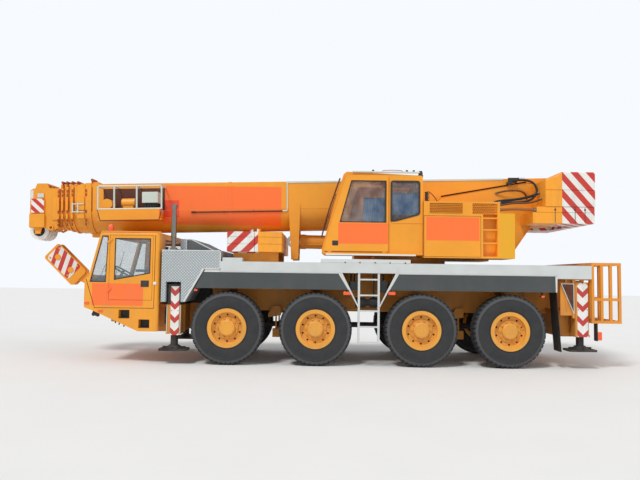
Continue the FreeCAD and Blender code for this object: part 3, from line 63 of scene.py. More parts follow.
class Nodes:
    """Small helper that wires shader nodes by name."""

    def __init__(self, name):
        self.mat = bpy.data.materials.new(name)
        self.mat.use_nodes = True
        self.tree = self.mat.node_tree
        self.bsdf = self.tree.nodes["Principled BSDF"]
        self.coord = self.add("ShaderNodeTexCoord").outputs["Object"]

    def add(self, kind, **inputs):
        node = self.tree.nodes.new(kind)
        for key, value in inputs.items():
            if key in ("operation", "blend_type", "data_type", "bands_direction", "wave_type", "feature",
                       "clamp", "invert", "distance", "interpolation_type"):
                setattr(node, key, value)
                continue
            socket = node.inputs[key.replace("_", " ")] if isinstance(key, str) else node.inputs[key]
            self.put(value, socket)
        return node

    def put(self, value, socket):
        if isinstance(value, bpy.types.NodeSocket):
            self.tree.links.new(value, socket)
        else:
            socket.default_value = value

    def math(self, op, a, b=0.0, c=0.0, clamp=False):
        node = self.tree.nodes.new("ShaderNodeMath")
        node.operation = op
        node.use_clamp = clamp
        for value, socket in zip((a, b, c), node.inputs):
            self.put(value, socket)
        return node.outputs[0]

    def mix(self, factor, a, b):
        node = self.tree.nodes.new("ShaderNodeMix")
        node.data_type = "RGBA"
        self.put(factor, node.inputs["Factor"])
        self.put(a, node.inputs["A"])
        self.put(b, node.inputs["B"])
        return node.outputs["Result"]

    def noise(self, scale, detail=4.0, rough=0.6, vector=None):
        node = self.add("ShaderNodeTexNoise", Scale=scale, Detail=detail, Roughness=rough)
        self.put(vector or self.coord, node.inputs["Vector"])
        return node.outputs["Fac"]

    def stretched(self, x, y, z):
        node = self.add("ShaderNodeMapping")
        self.put(self.coord, node.inputs["Vector"])
        node.inputs["Scale"].default_value = (x, y, z)
        return node.outputs["Vector"]

    def ramp(self, value, low, high):
        node = self.add("ShaderNodeMapRange")
        self.put(value, node.inputs["Value"])
        node.inputs["From Min"].default_value = low
        node.inputs["From Max"].default_value = high
        return node.outputs["Result"]

    def axes(self):
        node = self.add("ShaderNodeSeparateXYZ")
        self.put(self.coord, node.inputs["Vector"])
        return node.outputs

    def inside(self, value, low, high):
        return self.math("MULTIPLY", self.math("GREATER_THAN", value, low), self.math("LESS_THAN", value, high))

    def away(self, u, u0, v, v0):
        """Distance of two coordinates from a point."""
        du, dv = self.math("SUBTRACT", u, u0), self.math("SUBTRACT", v, v0)
        total = self.math("ADD", self.math("MULTIPLY", du, du), self.math("MULTIPLY", dv, dv))
        return self.math("SQRT", total)

    def bump(self, height, distance=0.002, strength=0.5):
        node = self.add("ShaderNodeBump", Height=height)
        node.inputs["Distance"].default_value = distance
        node.inputs["Strength"].default_value = strength
        self.put(node.outputs["Normal"], self.bsdf.inputs["Normal"])

    def done(self, colour, rough, metallic=0.0):
        self.put(colour, self.bsdf.inputs["Base Color"])
        self.put(rough, self.bsdf.inputs["Roughness"])
        self.put(metallic, self.bsdf.inputs["Metallic"])
        return self.mat


def paint(name, colour, rough=0.38, dirt=0.35, dirt_colour="#8C7A62", panels=(), discs=(), low=0.3, high=1.6):
    """Vehicle paint: slow colour drift, fine orange peel, road dust rising from below.
    panels: (colour, x low, x high, z low, z high). discs: (colour, x, z, radius, half width)."""
    n = Nodes(name)
    drift = n.ramp(n.noise(1.3, 3.0), 0.3, 0.75)
    base = n.mix(drift, srgb(colour), tuple(c * 0.84 for c in srgb(colour)[:3]) + (1.0,))
    x, y, z = n.axes()
    for panel_colour, x0, x1, z0, z1 in panels:
        mask = n.math("MULTIPLY", n.inside(x, x0, x1), n.inside(z, z0, z1))
        base = n.mix(mask, base, srgb(panel_colour))
    for disc_colour, x0, z0, radius, half in discs:
        mask = n.math("MULTIPLY", n.math("LESS_THAN", n.away(x, x0, z, z0), radius),
                      n.math("LESS_THAN", n.math("ABSOLUTE", y), half))
        base = n.mix(mask, base, srgb(disc_colour))
    streaks = n.ramp(n.noise(5.0, 6.0, 0.7, n.stretched(1.0, 1.0, 0.25)), 0.42, 0.75)
    height = n.ramp(z, high, low)
    amount = n.math("MULTIPLY", streaks, n.math("MULTIPLY_ADD", height, dirt, dirt * 0.25), clamp=True)
    base = n.mix(amount, base, srgb(dirt_colour))
    fine = n.noise(220.0, 2.0)
    scuff = n.ramp(n.noise(38.0, 5.0, 0.75, n.stretched(1.0, 1.0, 0.3)), 0.62, 0.7)
    base = n.mix(n.math("MULTIPLY", scuff, 0.14), base, srgb("#6E6255"))
    n.bump(n.math("ADD", n.math("MULTIPLY", fine, 0.35), scuff), 0.0006, 0.35)
    wear = n.math("MULTIPLY_ADD", drift, 0.1, rough)
    return n.done(base, n.math("ADD", wear, n.math("MULTIPLY", amount, 0.4), clamp=True))


def stripes(name, period=0.21, lean=1.0, region=None, half=None, back=ORANGE, dark="#C8382E", light="#E9E6DF"):
    """Red and white warning stripes at 45 degrees, over orange where the region ends.
    half: distance of the striped sides from the middle, from which they slant on across the ends."""
    n = Nodes(name)
    x, y, z = n.axes()
    along = n.math("ADD", n.math("MULTIPLY", x, lean), z)
    if half:
        along = n.math("ADD", along, n.math("SUBTRACT", n.math("ABSOLUTE", y), half))
    wave = n.math("FRACT", n.math("DIVIDE", along, period))
    colour = n.mix(n.math("GREATER_THAN", wave, 0.5), srgb(dark), srgb(light))
    if region:
        x0, x1, z0, z1 = region
        mask = n.math("MULTIPLY", n.inside(x, x0, x1), n.inside(z, z0, z1))
        colour = n.mix(mask, srgb(back), colour)
    grime = n.ramp(n.noise(7.0, 6.0, 0.7, n.stretched(1.0, 1.0, 0.3)), 0.45, 0.8)
    colour = n.mix(n.math("MULTIPLY", grime, 0.3), colour, srgb("#6B6155"))
    chips = n.ramp(n.noise(45.0, 4.0, 0.7), 0.68, 0.72)
    colour = n.mix(n.math("MULTIPLY", chips, 0.5), colour, srgb("#4A4038"))
    n.bump(n.math("ADD", n.noise(160.0, 2.0), chips), 0.0006, 0.3)
    return n.done(colour, n.math("MULTIPLY_ADD", grime, 0.3, 0.4))


def rough_metal(name, colour, rough=0.4, metallic=1.0, brushed=(1.0, 1.0, 1.0), dirt=0.25, dirt_colour="#5A5147"):
    n = Nodes(name)
    grain = n.noise(90.0, 4.0, 0.7, n.stretched(*brushed))
    dirt_mask = n.math("MULTIPLY", n.ramp(n.noise(4.0, 6.0, 0.7), 0.45, 0.75), dirt)
    base = n.mix(n.ramp(grain, 0.3, 0.7), srgb(colour), tuple(c * 0.8 for c in srgb(colour)[:3]) + (1.0,))
    base = n.mix(dirt_mask, base, srgb(dirt_colour))
    n.bump(grain, 0.0005, 0.3)
    roughness = n.math("ADD", n.math("MULTIPLY_ADD", grain, 0.2, rough - 0.1), n.math("MULTIPLY", dirt_mask, 0.6), clamp=True)
    metal = n.math("SUBTRACT", metallic, dirt_mask, clamp=True)
    return n.done(base, roughness, metal)


def chequer(name, colour="#DADCDA", pitch=0.045, mark=0.25, metal=0.55, dark=None):
    """Aluminium tread plate: short raised bars that alternate in direction.
    dark: what lies below this z and nearer the middle than this y is painted nearly black."""
    n = Nodes(name)
    x, y, z = n.axes()
    grid = []
    for a, b in ((x, y), (x, z), (y, z)):
        u = n.math("DIVIDE", n.math("ADD", a, b), pitch)
        v = n.math("DIVIDE", n.math("SUBTRACT", a, b), pitch)
        cell = n.math("MODULO", n.math("ADD", n.math("FLOOR", u), n.math("FLOOR", v)), 2.0)
        cell = n.math("ABSOLUTE", cell)
        fu = n.math("ABSOLUTE", n.math("SUBTRACT", n.math("FRACT", u), 0.5))
        fv = n.math("ABSOLUTE", n.math("SUBTRACT", n.math("FRACT", v), 0.5))
        one = n.math("MULTIPLY", n.math("LESS_THAN", fu, 0.38), n.math("LESS_THAN", fv, 0.11))
        two = n.math("MULTIPLY", n.math("LESS_THAN", fv, 0.38), n.math("LESS_THAN", fu, 0.11))
        grid.append(n.math("ADD", n.math("MULTIPLY", one, cell),
                           n.math("MULTIPLY", two, n.math("SUBTRACT", 1.0, cell))))
    normal = n.add("ShaderNodeNewGeometry").outputs["Normal"]
    split = n.add("ShaderNodeSeparateXYZ", Vector=normal).outputs
    top = n.math("GREATER_THAN", n.math("ABSOLUTE", split["Z"]), 0.6)
    side = n.math("GREATER_THAN", n.math("ABSOLUTE", split["Y"]), 0.6)
    bars = n.math("ADD", n.math("MULTIPLY", grid[0], top), n.math("MULTIPLY", grid[1], side))
    ends = n.math("SUBTRACT", n.math("SUBTRACT", 1.0, top), side, clamp=True)
    bars = n.math("ADD", bars, n.math("MULTIPLY", grid[2], ends))
    dirt_mask = n.ramp(n.noise(3.0, 6.0, 0.7), 0.45, 0.8)
    base = n.mix(n.math("MULTIPLY", dirt_mask, 0.35), srgb(colour), srgb("#8B857A"))
    base = n.mix(n.math("MULTIPLY", bars, mark), base, srgb("#F2F3F2"))
    if dark:
        low = n.math("MULTIPLY", n.math("LESS_THAN", z, dark[0]),
                     n.math("LESS_THAN", n.math("ABSOLUTE", y), dark[1]))
        base = n.mix(low, base, srgb("#2B2C2C"))
    n.bump(bars, 0.0015, 0.6)
    return n.done(base, n.math("MULTIPLY_ADD", dirt_mask, 0.25, 0.42), metal)


def rubber(name, colour="#2A2A2A", dust="#7A6F60", ring=None):
    """Dusty rubber. ring: radii around the local Y axis between which it has scuffed lighter."""
    n = Nodes(name)
    x, y, z = n.axes()
    cloud = n.ramp(n.noise(6.0, 6.0, 0.7), 0.35, 0.8)
    base = n.mix(n.math("MULTIPLY", cloud, 0.35), srgb(colour), srgb(dust))
    if ring:
        away = n.away(x, 0.0, z, 0.0)
        base = n.mix(n.math("MULTIPLY", n.inside(away, *ring), 0.28), base, srgb("#77777A"))
        base = n.mix(n.math("MULTIPLY", n.math("LESS_THAN", away, 0.40), 0.35), base, srgb("#17181A"))
    n.bump(n.noise(140.0, 3.0), 0.001, 0.35)
    return n.done(base, n.math("MULTIPLY_ADD", cloud, 0.15, 0.72))


def plastic(name, colour, rough=0.6, grain=300.0):
    n = Nodes(name)
    cloud = n.ramp(n.noise(5.0, 5.0, 0.7), 0.4, 0.75)
    base = n.mix(n.math("MULTIPLY", cloud, 0.25), srgb(colour), srgb("#7D766A"))
    n.bump(n.noise(grain, 2.0), 0.0006, 0.4)
    return n.done(base, n.math("MULTIPLY_ADD", cloud, 0.12, rough))


def glass(name, tint="#9FB4B8", alpha=0.2):
    n = Nodes(name)
    smear = n.noise(3.0, 5.0, 0.7)
    base = n.mix(n.ramp(smear, 0.4, 0.8), srgb(tint), srgb("#C4CCC9"))
    mat = n.done(base, n.math("MULTIPLY_ADD", smear, 0.05, 0.04))
    n.bsdf.inputs["Alpha"].default_value = alpha
    n.bsdf.inputs["IOR"].default_value = 1.5
    return mat


def lamp(name, colour):
    n = Nodes(name)
    x, y, z = n.axes()
    ribs = n.math("SINE", n.math("MULTIPLY", n.math("ADD", x, z), 500.0))
    base = n.mix(n.ramp(ribs, -1.0, 1.0), srgb(colour), tuple(min(1.0, c * 1.5 + 0.02) for c in srgb(colour)[:3]) + (1.0,))
    n.bump(ribs, 0.0008, 0.5)
    mat = n.done(base, 0.12)
    n.bsdf.inputs["Coat Weight"].default_value = 0.6
    return mat


def chevron(name, middle, period=0.255):
    """Red and white V shapes that point down, on a plate with its middle at one X."""
    n = Nodes(name)
    x, y, z = n.axes()
    fold = n.math("ABSOLUTE", n.math("SUBTRACT", x, middle))
    wave = n.math("FRACT", n.math("DIVIDE", n.math("SUBTRACT", z, fold), period))
    colour = n.mix(n.math("GREATER_THAN", wave, 0.42), srgb("#C23A33"), srgb("#ECEAE4"))
    grime = n.ramp(n.noise(9.0, 6.0, 0.7, n.stretched(1.0, 1.0, 0.4)), 0.42, 0.8)
    colour = n.mix(n.math("MULTIPLY", grime, 0.35), colour, srgb("#6B6155"))
    chips = n.ramp(n.noise(60.0, 4.0, 0.7), 0.66, 0.71)
    colour = n.mix(n.math("MULTIPLY", chips, 0.5), colour, srgb("#4A4038"))
    n.bump(n.math("ADD", n.noise(160.0, 2.0), chips), 0.0006, 0.3)
    return n.done(colour, n.math("MULTIPLY_ADD", grime, 0.3, 0.4))


LOGO = (PATCH, -4.09, -3.13, 1.075, 1.49)
M = {
    "carrier_cab": paint("carrier_cab_paint", ORANGE, panels=(LOGO,)),
    "door": paint("door_paint", ORANGE, panels=(LOGO,)),
    "orange": paint("orange_body", ORANGE),
    "orange_plain": paint("orange_trim", ORANGE, dirt=0.12),
    # chassis, rear rack and rear outriggers: a slightly darker orange with heavier road dust; the darker tone and part
    # of the dust are painted shade
    "orange_low": paint("orange_chassis_partly_shaded", "#E8942A", dirt=0.6, rough=0.45),
    # front outriggers: a dimmer, dustier copy of the orange that is painted shade
    "front_outrigger": paint("front_outrigger_painted_shade", "#D98A2C", dirt=0.6, rough=0.45,
                             panels=((DARK, -2.96, -2.40, 1.104, 1.54),)),
    "orange_rim": paint("orange_rim", "#EFA63C", dirt=0.35, rough=0.36, low=0.0, high=1.4),
    "boom": paint("boom_paint", ORANGE, dirt=0.1,
                  panels=((PATCH, -3.02, -0.63, 2.69, 3.47), ("#EE4A2A", -3.01, -2.70, 2.83, 3.17))),
    "boom_head": paint("boom_head_paint", ORANGE, dirt=0.1,
                       discs=((WHITE, -5.600, 2.531, 0.193, 0.24), (DARK, -5.600, 2.531, 0.115, 0.24),
                              (WHITE, -5.556, 3.166, 0.153, 0.24))),
    "crane_cab": paint("crane_cab_paint", ORANGE, dirt=0.1, panels=((PATCH, 0.497, 1.432, 2.287, 2.68),)),
    "housing": paint("housing_paint", ORANGE, dirt=0.1,
                     panels=((PATCH, 2.15, 3.15, 2.37, 2.815), ("#E9A81C", 3.535, 3.83, 2.0, 2.92))),
    # pad: darker orange of the collar pads and rope guides; it also paints the shadow behind each collar
    "pad": paint("pad_paint_and_painted_shadow", "#A8501C", dirt=0.2, rough=0.5),
    # recess: dark red-brown of the boom's side line, the tray's outline and the screen rail; it also paints shade
    # behind the boom's tray, under the side plate's flange and in the rear jack recess
    "recess": paint("dark_brown_and_painted_shade", "#5A2A18", dirt=0.3, rough=0.6),
    "interior": paint("interior_trim", "#2C4C86", dirt=0.1, rough=0.85, panels=((DARK, -4.3, -3.72, 0.9, 2.3),)),
    "crane_interior": paint("crane_interior_trim", "#A85A28", dirt=0.1, rough=0.85,
                            panels=((DARK, 0.2, 2.0, 2.0, 2.62),)),
    "guard": paint("guard_paint", "#454B4C", dirt=0.3, rough=0.5, panels=(("#1B1B1C", 4.57, 4.75, 0.2, 1.43),)),
    "white": paint("white_trim", "#E6E8E4", dirt=0.2),
    "pale": paint("pale_green_trim", "#D3DCD2", dirt=0.15),
    "counterweight": stripes("striped_counterweight", 0.33, 1.13, (4.74, 5.5, 2.6, 3.74), 1.25),
    "slabs": stripes("striped_slabs", 0.33, -1.0, (-1.7, -1.011, 2.1, 2.6), 1.22),
    "hook_plate": stripes("striped_hook_plate", 0.583, -3.167),
    "head_plate": stripes("striped_head_plate", 0.20, 0.9),
    "dark": rough_metal("dark_steel", "#33312F", 0.6, 0.2, dirt=0.5, dirt_colour="#6A5D4E"),
    "steel": rough_metal("bare_steel", "#9A9890", 0.35, 1.0, (1.0, 1.0, 0.1)),
    "chrome": rough_metal("chromed_rod", "#D6D8D9", 0.14, 1.0, (0.1, 1.0, 1.0), 0.08),
    "alloy": rough_metal("alloy_trim", "#E4E6E3", 0.42, 0.3, (0.1, 1.0, 1.0), 0.1, "#9A958A"),
    "bay": chequer("chequer_bay", "#9CA5A8", 0.055, 0.9, 0.1),
    "deck": chequer("chequer_deck", "#CFD4D2", 0.05, 0.55, 0.2, (1.735, 1.265)),
    "mesh": chequer("intake_mesh", "#4A5052", 0.03, 0.25, 0.3),
    "gap": plastic("shadow_gap", "#1E1712", 0.9),
    "black": plastic("black_plastic", "#242526", 0.5),
    "red": plastic("red_plastic", "#9C2E22", 0.5),
    "vent": plastic("vent_shade", "#80501C", 0.8),
    "seal": rubber("window_seal", "#2B2A29", "#5E5A52"),
    "curtain": plastic("curtain_cloth", "#3F6CA6", 0.92, 1200.0),
    "rubber": rubber("tyre_rubber", "#26282B", "#55524D", (0.60, 0.645)),
    "hose": rubber("hose_rubber", "#1B1B1C", "#4A463F"),
    "brown_hose": rubber("brown_hose_rubber", "#6E3A20", "#7A5A42"),
    "tan_hose": rubber("tan_hose_rubber", "#A0602A", "#7A5A42"),
    "glass": glass("window_glass"),
    "cab_glass": glass("cab_window_glass", "#56656C", 0.27),
    "amber_lamp": lamp("amber_lens", "#E8501A"),
    "clear_lamp": lamp("clear_lens", "#DCE2E4"),
}
for name, x, period in (("front_left", -2.54, 0.252), ("front_right", -2.82, 0.252),
                        ("rear_left", 5.097, 0.265), ("rear_right", 4.835, 0.265)):
    M["chevron_" + name] = chevron("chevron_" + name, x, period)

# Window outlines, as X and Z

QUARTER = ((-4.14, 1.51), (-3.834, 1.51), (-3.806, 2.385), (-3.926, 2.385))
DOOR_WINDOW = ((-3.685, 1.55), (-3.01, 1.68), (-3.01, 2.34), (-3.685, 2.34))
CRANE_PANE = ((0.52, 2.69), (1.39, 2.69), (1.39, 3.49), (0.735, 3.49))
CRANE_REAR = ((1.495, 2.71), (2.035, 2.86), (2.035, 3.49), (1.495, 3.49))


def soften(o, width=0.004):
    m = o.modifiers.new("edges", "BEVEL")
    m.width = width
    m.segments = 1
    m.limit_method = "ANGLE"
    m.angle_limit = math.radians(50)
    m.use_clamp_overlap = True


def dress(node, mat):
    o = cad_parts[node]
    o.data.materials.clear()
    o.data.materials.append(mat)
    return o


SURFACES = {
    "carrier_cab": ("carrier_cab",), "door": ("carrier_door_left", "carrier_door_right"),
    "orange": ("turntable_frame",), "crane_cab": ("crane_cab", "crane_cab_door"),
    "orange_low": ("chassis_frame", "rear_rack", "outrigger_rear_left", "outrigger_rear_right"),
    "front_outrigger": ("outrigger_front_left", "outrigger_front_right"),
    "boom": ("boom_base",), "boom_head": ("boom_section_4",), "housing": ("machine_housing",),
    "counterweight": ("counterweight",), "slabs": ("deck_counterweight",),
    "orange_plain": ("boom_section_1", "boom_section_2", "boom_section_3", "luffing_barrel", "hook_block"),
    "chrome": ("luffing_rod",), "bay": ("engine_bay",), "deck": ("deck_plates",),
    "guard": ("mudguards",), "steel": ("exhaust_stack",),
    "dark": ("axles", "carrier_engine", "winch") + tuple(
        "knuckle_%d_%s" % (i, s) for i in (1, 2, 3, 4) for s in ("left", "right")) + tuple(
        "jack_%s_%s" % (e, s) for e in ("front", "rear") for s in ("left", "right")),
    "interior": ("carrier_cab_interior",), "crane_interior": ("crane_cab_interior",),
    "rubber": tuple("tyre_%d_%s" % (i, s) for i in (1, 2, 3, 4) for s in ("left", "right")),
    "orange_rim": tuple("rim_%d_%s" % (i, s) for i in (1, 2, 3, 4) for s in ("left", "right")),
}
for key, nodes in SURFACES.items():
    for node in nodes:
        dress(node, M[key])
        if not node.startswith("tyre"):
            soften(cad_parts[node])


# Mesh building

class Kit:
    """Collects simple forms into one mesh, then makes a piece of it."""

    def __init__(self):
        self.bm = bmesh.new()

    def solid(self, rings, cap=True):
        """Skin between closed rings of points."""
        rows = [[self.bm.verts.new(p) for p in ring] for ring in rings]
        for a, b in zip(rows, rows[1:]):
            for i in range(len(a)):
                j = (i + 1) % len(a)
                self.bm.faces.new((a[i], a[j], b[j], b[i]))
        if cap:
            self.bm.faces.new(rows[0][::-1])
            self.bm.faces.new(rows[-1])
        return self

    def box(self, x0, x1, y0, y1, z0, z1):
        ring = ((x0, y0), (x1, y0), (x1, y1), (x0, y1))
        return self.solid([[(x, y, z) for x, y in ring] for z in (z0, z1)])

    def prism(self, points, a, b, plane="xz"):
        place = {"xz": lambda u, v, w: (u, w, v), "yz": lambda u, v, w: (w, u, v), "xy": lambda u, v, w: (u, v, w)}
        return self.solid([[place[plane](u, v, w) for u, v in points] for w in (a, b)])

    def rod(self, a, b, r, r2=None, count=16):
        a, b = Vector(a), Vector(b)
        way = (b - a).normalized()
        side = way.orthogonal().normalized()
        up = way.cross(side)
        turns = [2 * math.pi * k / count for k in range(count)]
        rings = []
        for centre, radius in ((a, r), (b, r if r2 is None else r2)):
            rings.append([centre + radius * (math.cos(t) * side + math.sin(t) * up) for t in turns])
        return self.solid(rings)

    def lathe(self, profile, centre=(0, 0, 0), count=48, axis="y"):
        """Closed profile of (radius, distance along the axis)."""
        cx, cy, cz = centre
        rows = []
        for k in range(count):
            t = 2 * math.pi * k / count
            c, s = math.cos(t), math.sin(t)
            if axis == "y":
                rows.append([self.bm.verts.new((cx + r * c, cy + d, cz + r * s)) for r, d in profile])
            elif axis == "x":
                rows.append([self.bm.verts.new((cx + d, cy + r * c, cz + r * s)) for r, d in profile])
            else:
                rows.append([self.bm.verts.new((cx + r * c, cy + r * s, cz + d)) for r, d in profile])
        for k in range(count):
            a, b = rows[k], rows[(k + 1) % count]
            for i in range(len(profile)):
                j = (i + 1) % len(profile)
                self.bm.faces.new((a[i], a[j], b[j], b[i]))
        return self

    def bolts(self, places, way, r=0.012, h=0.01):
        for p in places:
            p = Vector(p)
            self.rod(p, p + Vector(way) * h, r, count=6)
        return self

    def tube(self, points, r, count=12, steps=6):
        """A bent pipe: a smooth line through the points, with round section."""
        line = smooth_line([Vector(p) for p in points], steps)
        side = (line[1] - line[0]).orthogonal().normalized()
        rings = []
        for i, p in enumerate(line):
            way = (line[min(i + 1, len(line) - 1)] - line[max(i - 1, 0)]).normalized()
            side = (side - way * side.dot(way)).normalized()
            up = way.cross(side)
            rings.append([p + r * (math.cos(2 * math.pi * k / count) * side + math.sin(2 * math.pi * k / count) * up)
                          for k in range(count)])
        return self.solid(rings)

    def mesh(self, name, mat, angle=35):
        bmesh.ops.recalc_face_normals(self.bm, faces=self.bm.faces[:])
        me = bpy.data.meshes.new(name)
        self.bm.to_mesh(me)
        self.bm.free()
        me.materials.append(mat)
        me.polygons.foreach_set("use_smooth", [True] * len(me.polygons))
        me.set_sharp_from_angle(angle=math.radians(angle))
        return me

    def piece(self, name, body, mat, bevel=0.003):
        return place(name, self.mesh(name, mat), body, bevel)


def place(name, me, body, bevel=0.0, at=(0, 0, 0), turn=0.0):
    o = bpy.data.objects.new(name, me)
    o.location = at
    o.rotation_euler = (0, 0, turn)
    bpy.context.scene.collection.objects.link(o)
    if bevel:
        m = o.modifiers.new("edges", "BEVEL")
        m.width = bevel
        m.segments = 2
        m.limit_method = "ANGLE"
        m.angle_limit = math.radians(40)
    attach(o, body)
    return o


def smooth_line(points, steps):
    """Catmull-Rom line through the points."""
    if len(points) < 3:
        return points
    ends = [points[0] * 2 - points[1]] + points + [points[-1] * 2 - points[-2]]
    line = []
    for a, b, c, d in zip(ends, ends[1:], ends[2:], ends[3:]):
        for k in range(steps):
            t = k / steps
            line.append(0.5 * ((2 * b) + (c - a) * t + (2 * a - 5 * b + 4 * c - d) * t * t
                               + (3 * b - a - 3 * c + d) * t * t * t))
    return line + [points[-1]]


def rounded(points, r, steps=4):
    """Rounds the corners of a flat outline."""
    out = []
    n = len(points)
    for i, p in enumerate(points):
        p = Vector(p)
        a, b = Vector(points[i - 1]) - p, Vector(points[(i + 1) % n]) - p
        cut = min(r, a.length * 0.45, b.length * 0.45)
        a, b = p + a.normalized() * cut, p + b.normalized() * cut
        for k in range(steps + 1):
            t = k / steps
            q = a * (1 - t) ** 2 + p * 2 * t * (1 - t) + b * t * t
            out.append((q.x, q.y))
    return out


def inset(points, d):
    """Moves each side of a convex outline inwards."""
    n = len(points)
    area = sum(points[i][0] * points[(i + 1) % n][1] - points[(i + 1) % n][0] * points[i][1] for i in range(n))
    s = 1 if area > 0 else -1
    out = []
    for i in range(n):
        p, a, b = Vector(points[i]), Vector(points[i - 1]), Vector(points[(i + 1) % n])
        u, v = (p - a).normalized(), (b - p).normalized()
        nu, nv = Vector((-u.y, u.x)) * s, Vector((-v.y, v.x)) * s
        q = p + (nu + nv) * (d / (1 + nu.dot(nv)))
        out.append((q.x, q.y))
    return out


def frame_of(kit, outer, inner, a, b, plane="xz"):
    """A band between two outlines with the same number of points."""
    place_of = {"xz": lambda u, v, w: (u, w, v), "yz": lambda u, v, w: (w, u, v)}[plane]
    loops = [[kit.bm.verts.new(place_of(u, v, w)) for u, v in ring]
             for ring, w in ((outer, a), (inner, a), (inner, b), (outer, b))]
    n = len(outer)
    for k in range(4):
        p, q = loops[k], loops[(k + 1) % 4]
        for i in range(n):
            j = (i + 1) % n
            kit.bm.faces.new((p[i], p[j], q[j], q[i]))
    return kit


def window(name, body, points, y, out, mat, seal=0.028, corner=0.05, thick=0.006):
    """A glass pane in the XZ plane at y, with a black rubber seal on its outer side."""
    outline = rounded(points, corner)
    Kit().prism(outline, y - thick / 2, y + thick / 2).piece(name + "_glass", body, mat, 0.0)
    inner = rounded(inset(points, seal), max(0.01, corner - seal))
    outer = rounded(inset(points, -0.012), corner + 0.012)
    k = frame_of(Kit(), outer, inner, y - 0.012, y + out * 0.016)
    k.piece(name + "_seal", body, M["seal"], 0.003)


def curtain(name, body, x0, x1, z0, z1, y):
    """Pleated cloth behind a window, on a thin rail."""
    rail = Kit().rod((x0 - 0.01, y, z1 + 0.004), (x1 + 0.01, y, z1 + 0.004), 0.005, count=8)
    rail.piece(name + "_rail", body, M["black"], 0.0)
    columns, rows = 64, 6
    line = []
    for i in range(columns + 1):
        u = i / columns
        line.append(Vector((x0 + (x1 - x0) * u, y + 0.009 * math.sin(u * (x1 - x0) * 2 * math.pi / 0.055), 0)))
    bm = bmesh.new()
    grid = [[bm.verts.new((q.x, q.y, z0 + (z1 - z0) * j / rows)) for q in line] for j in range(rows + 1)]
    for a, b in zip(grid, grid[1:]):
        for i in range(columns):
            bm.faces.new((a[i], a[i + 1], b[i + 1], b[i]))
    me = bpy.data.meshes.new(name)
    bm.to_mesh(me)
    bm.free()
    me.materials.append(M["curtain"])
    me.polygons.foreach_set("use_smooth", [True] * len(me.polygons))
    o = place(name, me, body)


def both_sides(build):
    for name, s in SIDES:
        build(name, s)


# Wheels: tyre with shoulder lugs and circular ribs, and nuts on the rim

def tyre_mesh():
    half = [(0.318, 0.158), (0.334, 0.162), (0.352, 0.164), (0.366, 0.172), (0.378, 0.168), (0.40, 0.1755),
            (0.43, 0.1815), (0.47, 0.186), (0.51, 0.187), (0.55, 0.1855), (0.578, 0.182), (0.584, 0.1845),
            (0.592, 0.1835), (0.60, 0.178), (0.622, 0.172), (0.640, 0.164), (0.654, 0.150), (0.664, 0.128)]
    crown = [(0.668, 0.10), (0.668, 0.052), (0.656, 0.048), (0.656, 0.036), (0.670, 0.032)]
    profile = half + crown + [(r, -d) for r, d in reversed(half + crown)]
    k = Kit().lathe(profile, count=120)
    lugs = 46
    w = 2 * math.pi / lugs * 0.33
    for side in (-1, 1):
        for i in range(lugs):
            t = 2 * math.pi * (i + (0.5 if side > 0 else 0.0)) / lugs
            rings = []
            for d, r_low, r_high, turn, wide in (
                (0.055, 0.65, 0.6845, 0.022, 1.0), (0.125, 0.65, 0.6835, 0.0, 1.08),
                (0.156, 0.642, 0.672, -0.011, 1.1), (0.169, 0.632, 0.651, -0.013, 1.1),
            ):
                corners = ((r_low, -w * wide), (r_high, -w * wide), (r_high, w * wide), (r_low, w * wide))
                rings.append([(r * math.cos(t + turn + a), side * d, r * math.sin(t + turn + a)) for r, a in corners])
            k.solid(rings)
    w = math.pi / lugs * 0.36
    for i in range(lugs * 2):
        t = math.pi * i / lugs
        k.solid([[(r * math.cos(t + turn + a), d, r * math.sin(t + turn + a))
                  for r, a in ((0.66, -w), (0.6842, -w), (0.6842, w), (0.66, w))]
                 for d, turn in ((-0.031, -0.012), (0.0, 0.012), (0.031, -0.012))])
    return k.mesh("tyre", M["rubber"], 32)


def wheel_trim_mesh():
    """Nuts, hub cap bolts and valve, for a wheel whose outside faces -Y."""
    k = Kit()
    for i in range(10):
        t = 2 * math.pi * i / 10
        x, z = 0.182 * math.cos(t), 0.182 * math.sin(t)
        k.rod((x, -0.108, z), (x, -0.1155, z), 0.021, count=20)
        k.rod((x, -0.1125, z), (x, -0.137, z), 0.0155, 0.0145, 6)
        k.rod((x, -0.135, z), (x, -0.148, z), 0.009, 0.0075, 12)
    for i in range(8):
        t = 2 * math.pi * (i + 0.5) / 8
        x, z = 0.118 * math.cos(t), 0.118 * math.sin(t)
        k.rod((x, -0.1735, z), (x, -0.183, z), 0.0085, count=6)
    k.tube([(0.20, -0.092, 0.06), (0.225, -0.115, 0.068), (0.262, -0.128, 0.078)], 0.006, 8, 3)
    return k.mesh("wheel_trim", M["orange_rim"])


def wheels():
    tyre, trim = tyre_mesh(), wheel_trim_mesh()
    drum = Kit().lathe([(0.12, -0.05), (0.27, -0.05), (0.285, -0.03), (0.285, 0.0), (0.12, 0.0)])
    drum = drum.mesh("brake_drum", M["dark"])
    for i, x in enumerate(AXLE_X, 1):
        for name, s in SIDES:
            at, turn, body = (x, s * WHEEL_Y, TYRE_R), 0.0 if s < 0 else math.pi, "wheel_%d_%s" % (i, name)
            tread = place("tread_tyre_%d_%s" % (i, name), tyre, body, 0.0, at, turn)
            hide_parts("tyre_%d_%s" % (i, name))
            place("wheel_trim_%d_%s" % (i, name), trim, body, 0.0, at, turn)
            place("brake_drum_%d_%s" % (i, name), drum, body, 0.0, at, turn)


# Carrier cab: glass, seals, lamps, wipers, handles and seams

CAB_Y = 1.31
SCREEN = ((-4.225, 1.51), (-4.155, 1.60), (-3.975, 2.37))


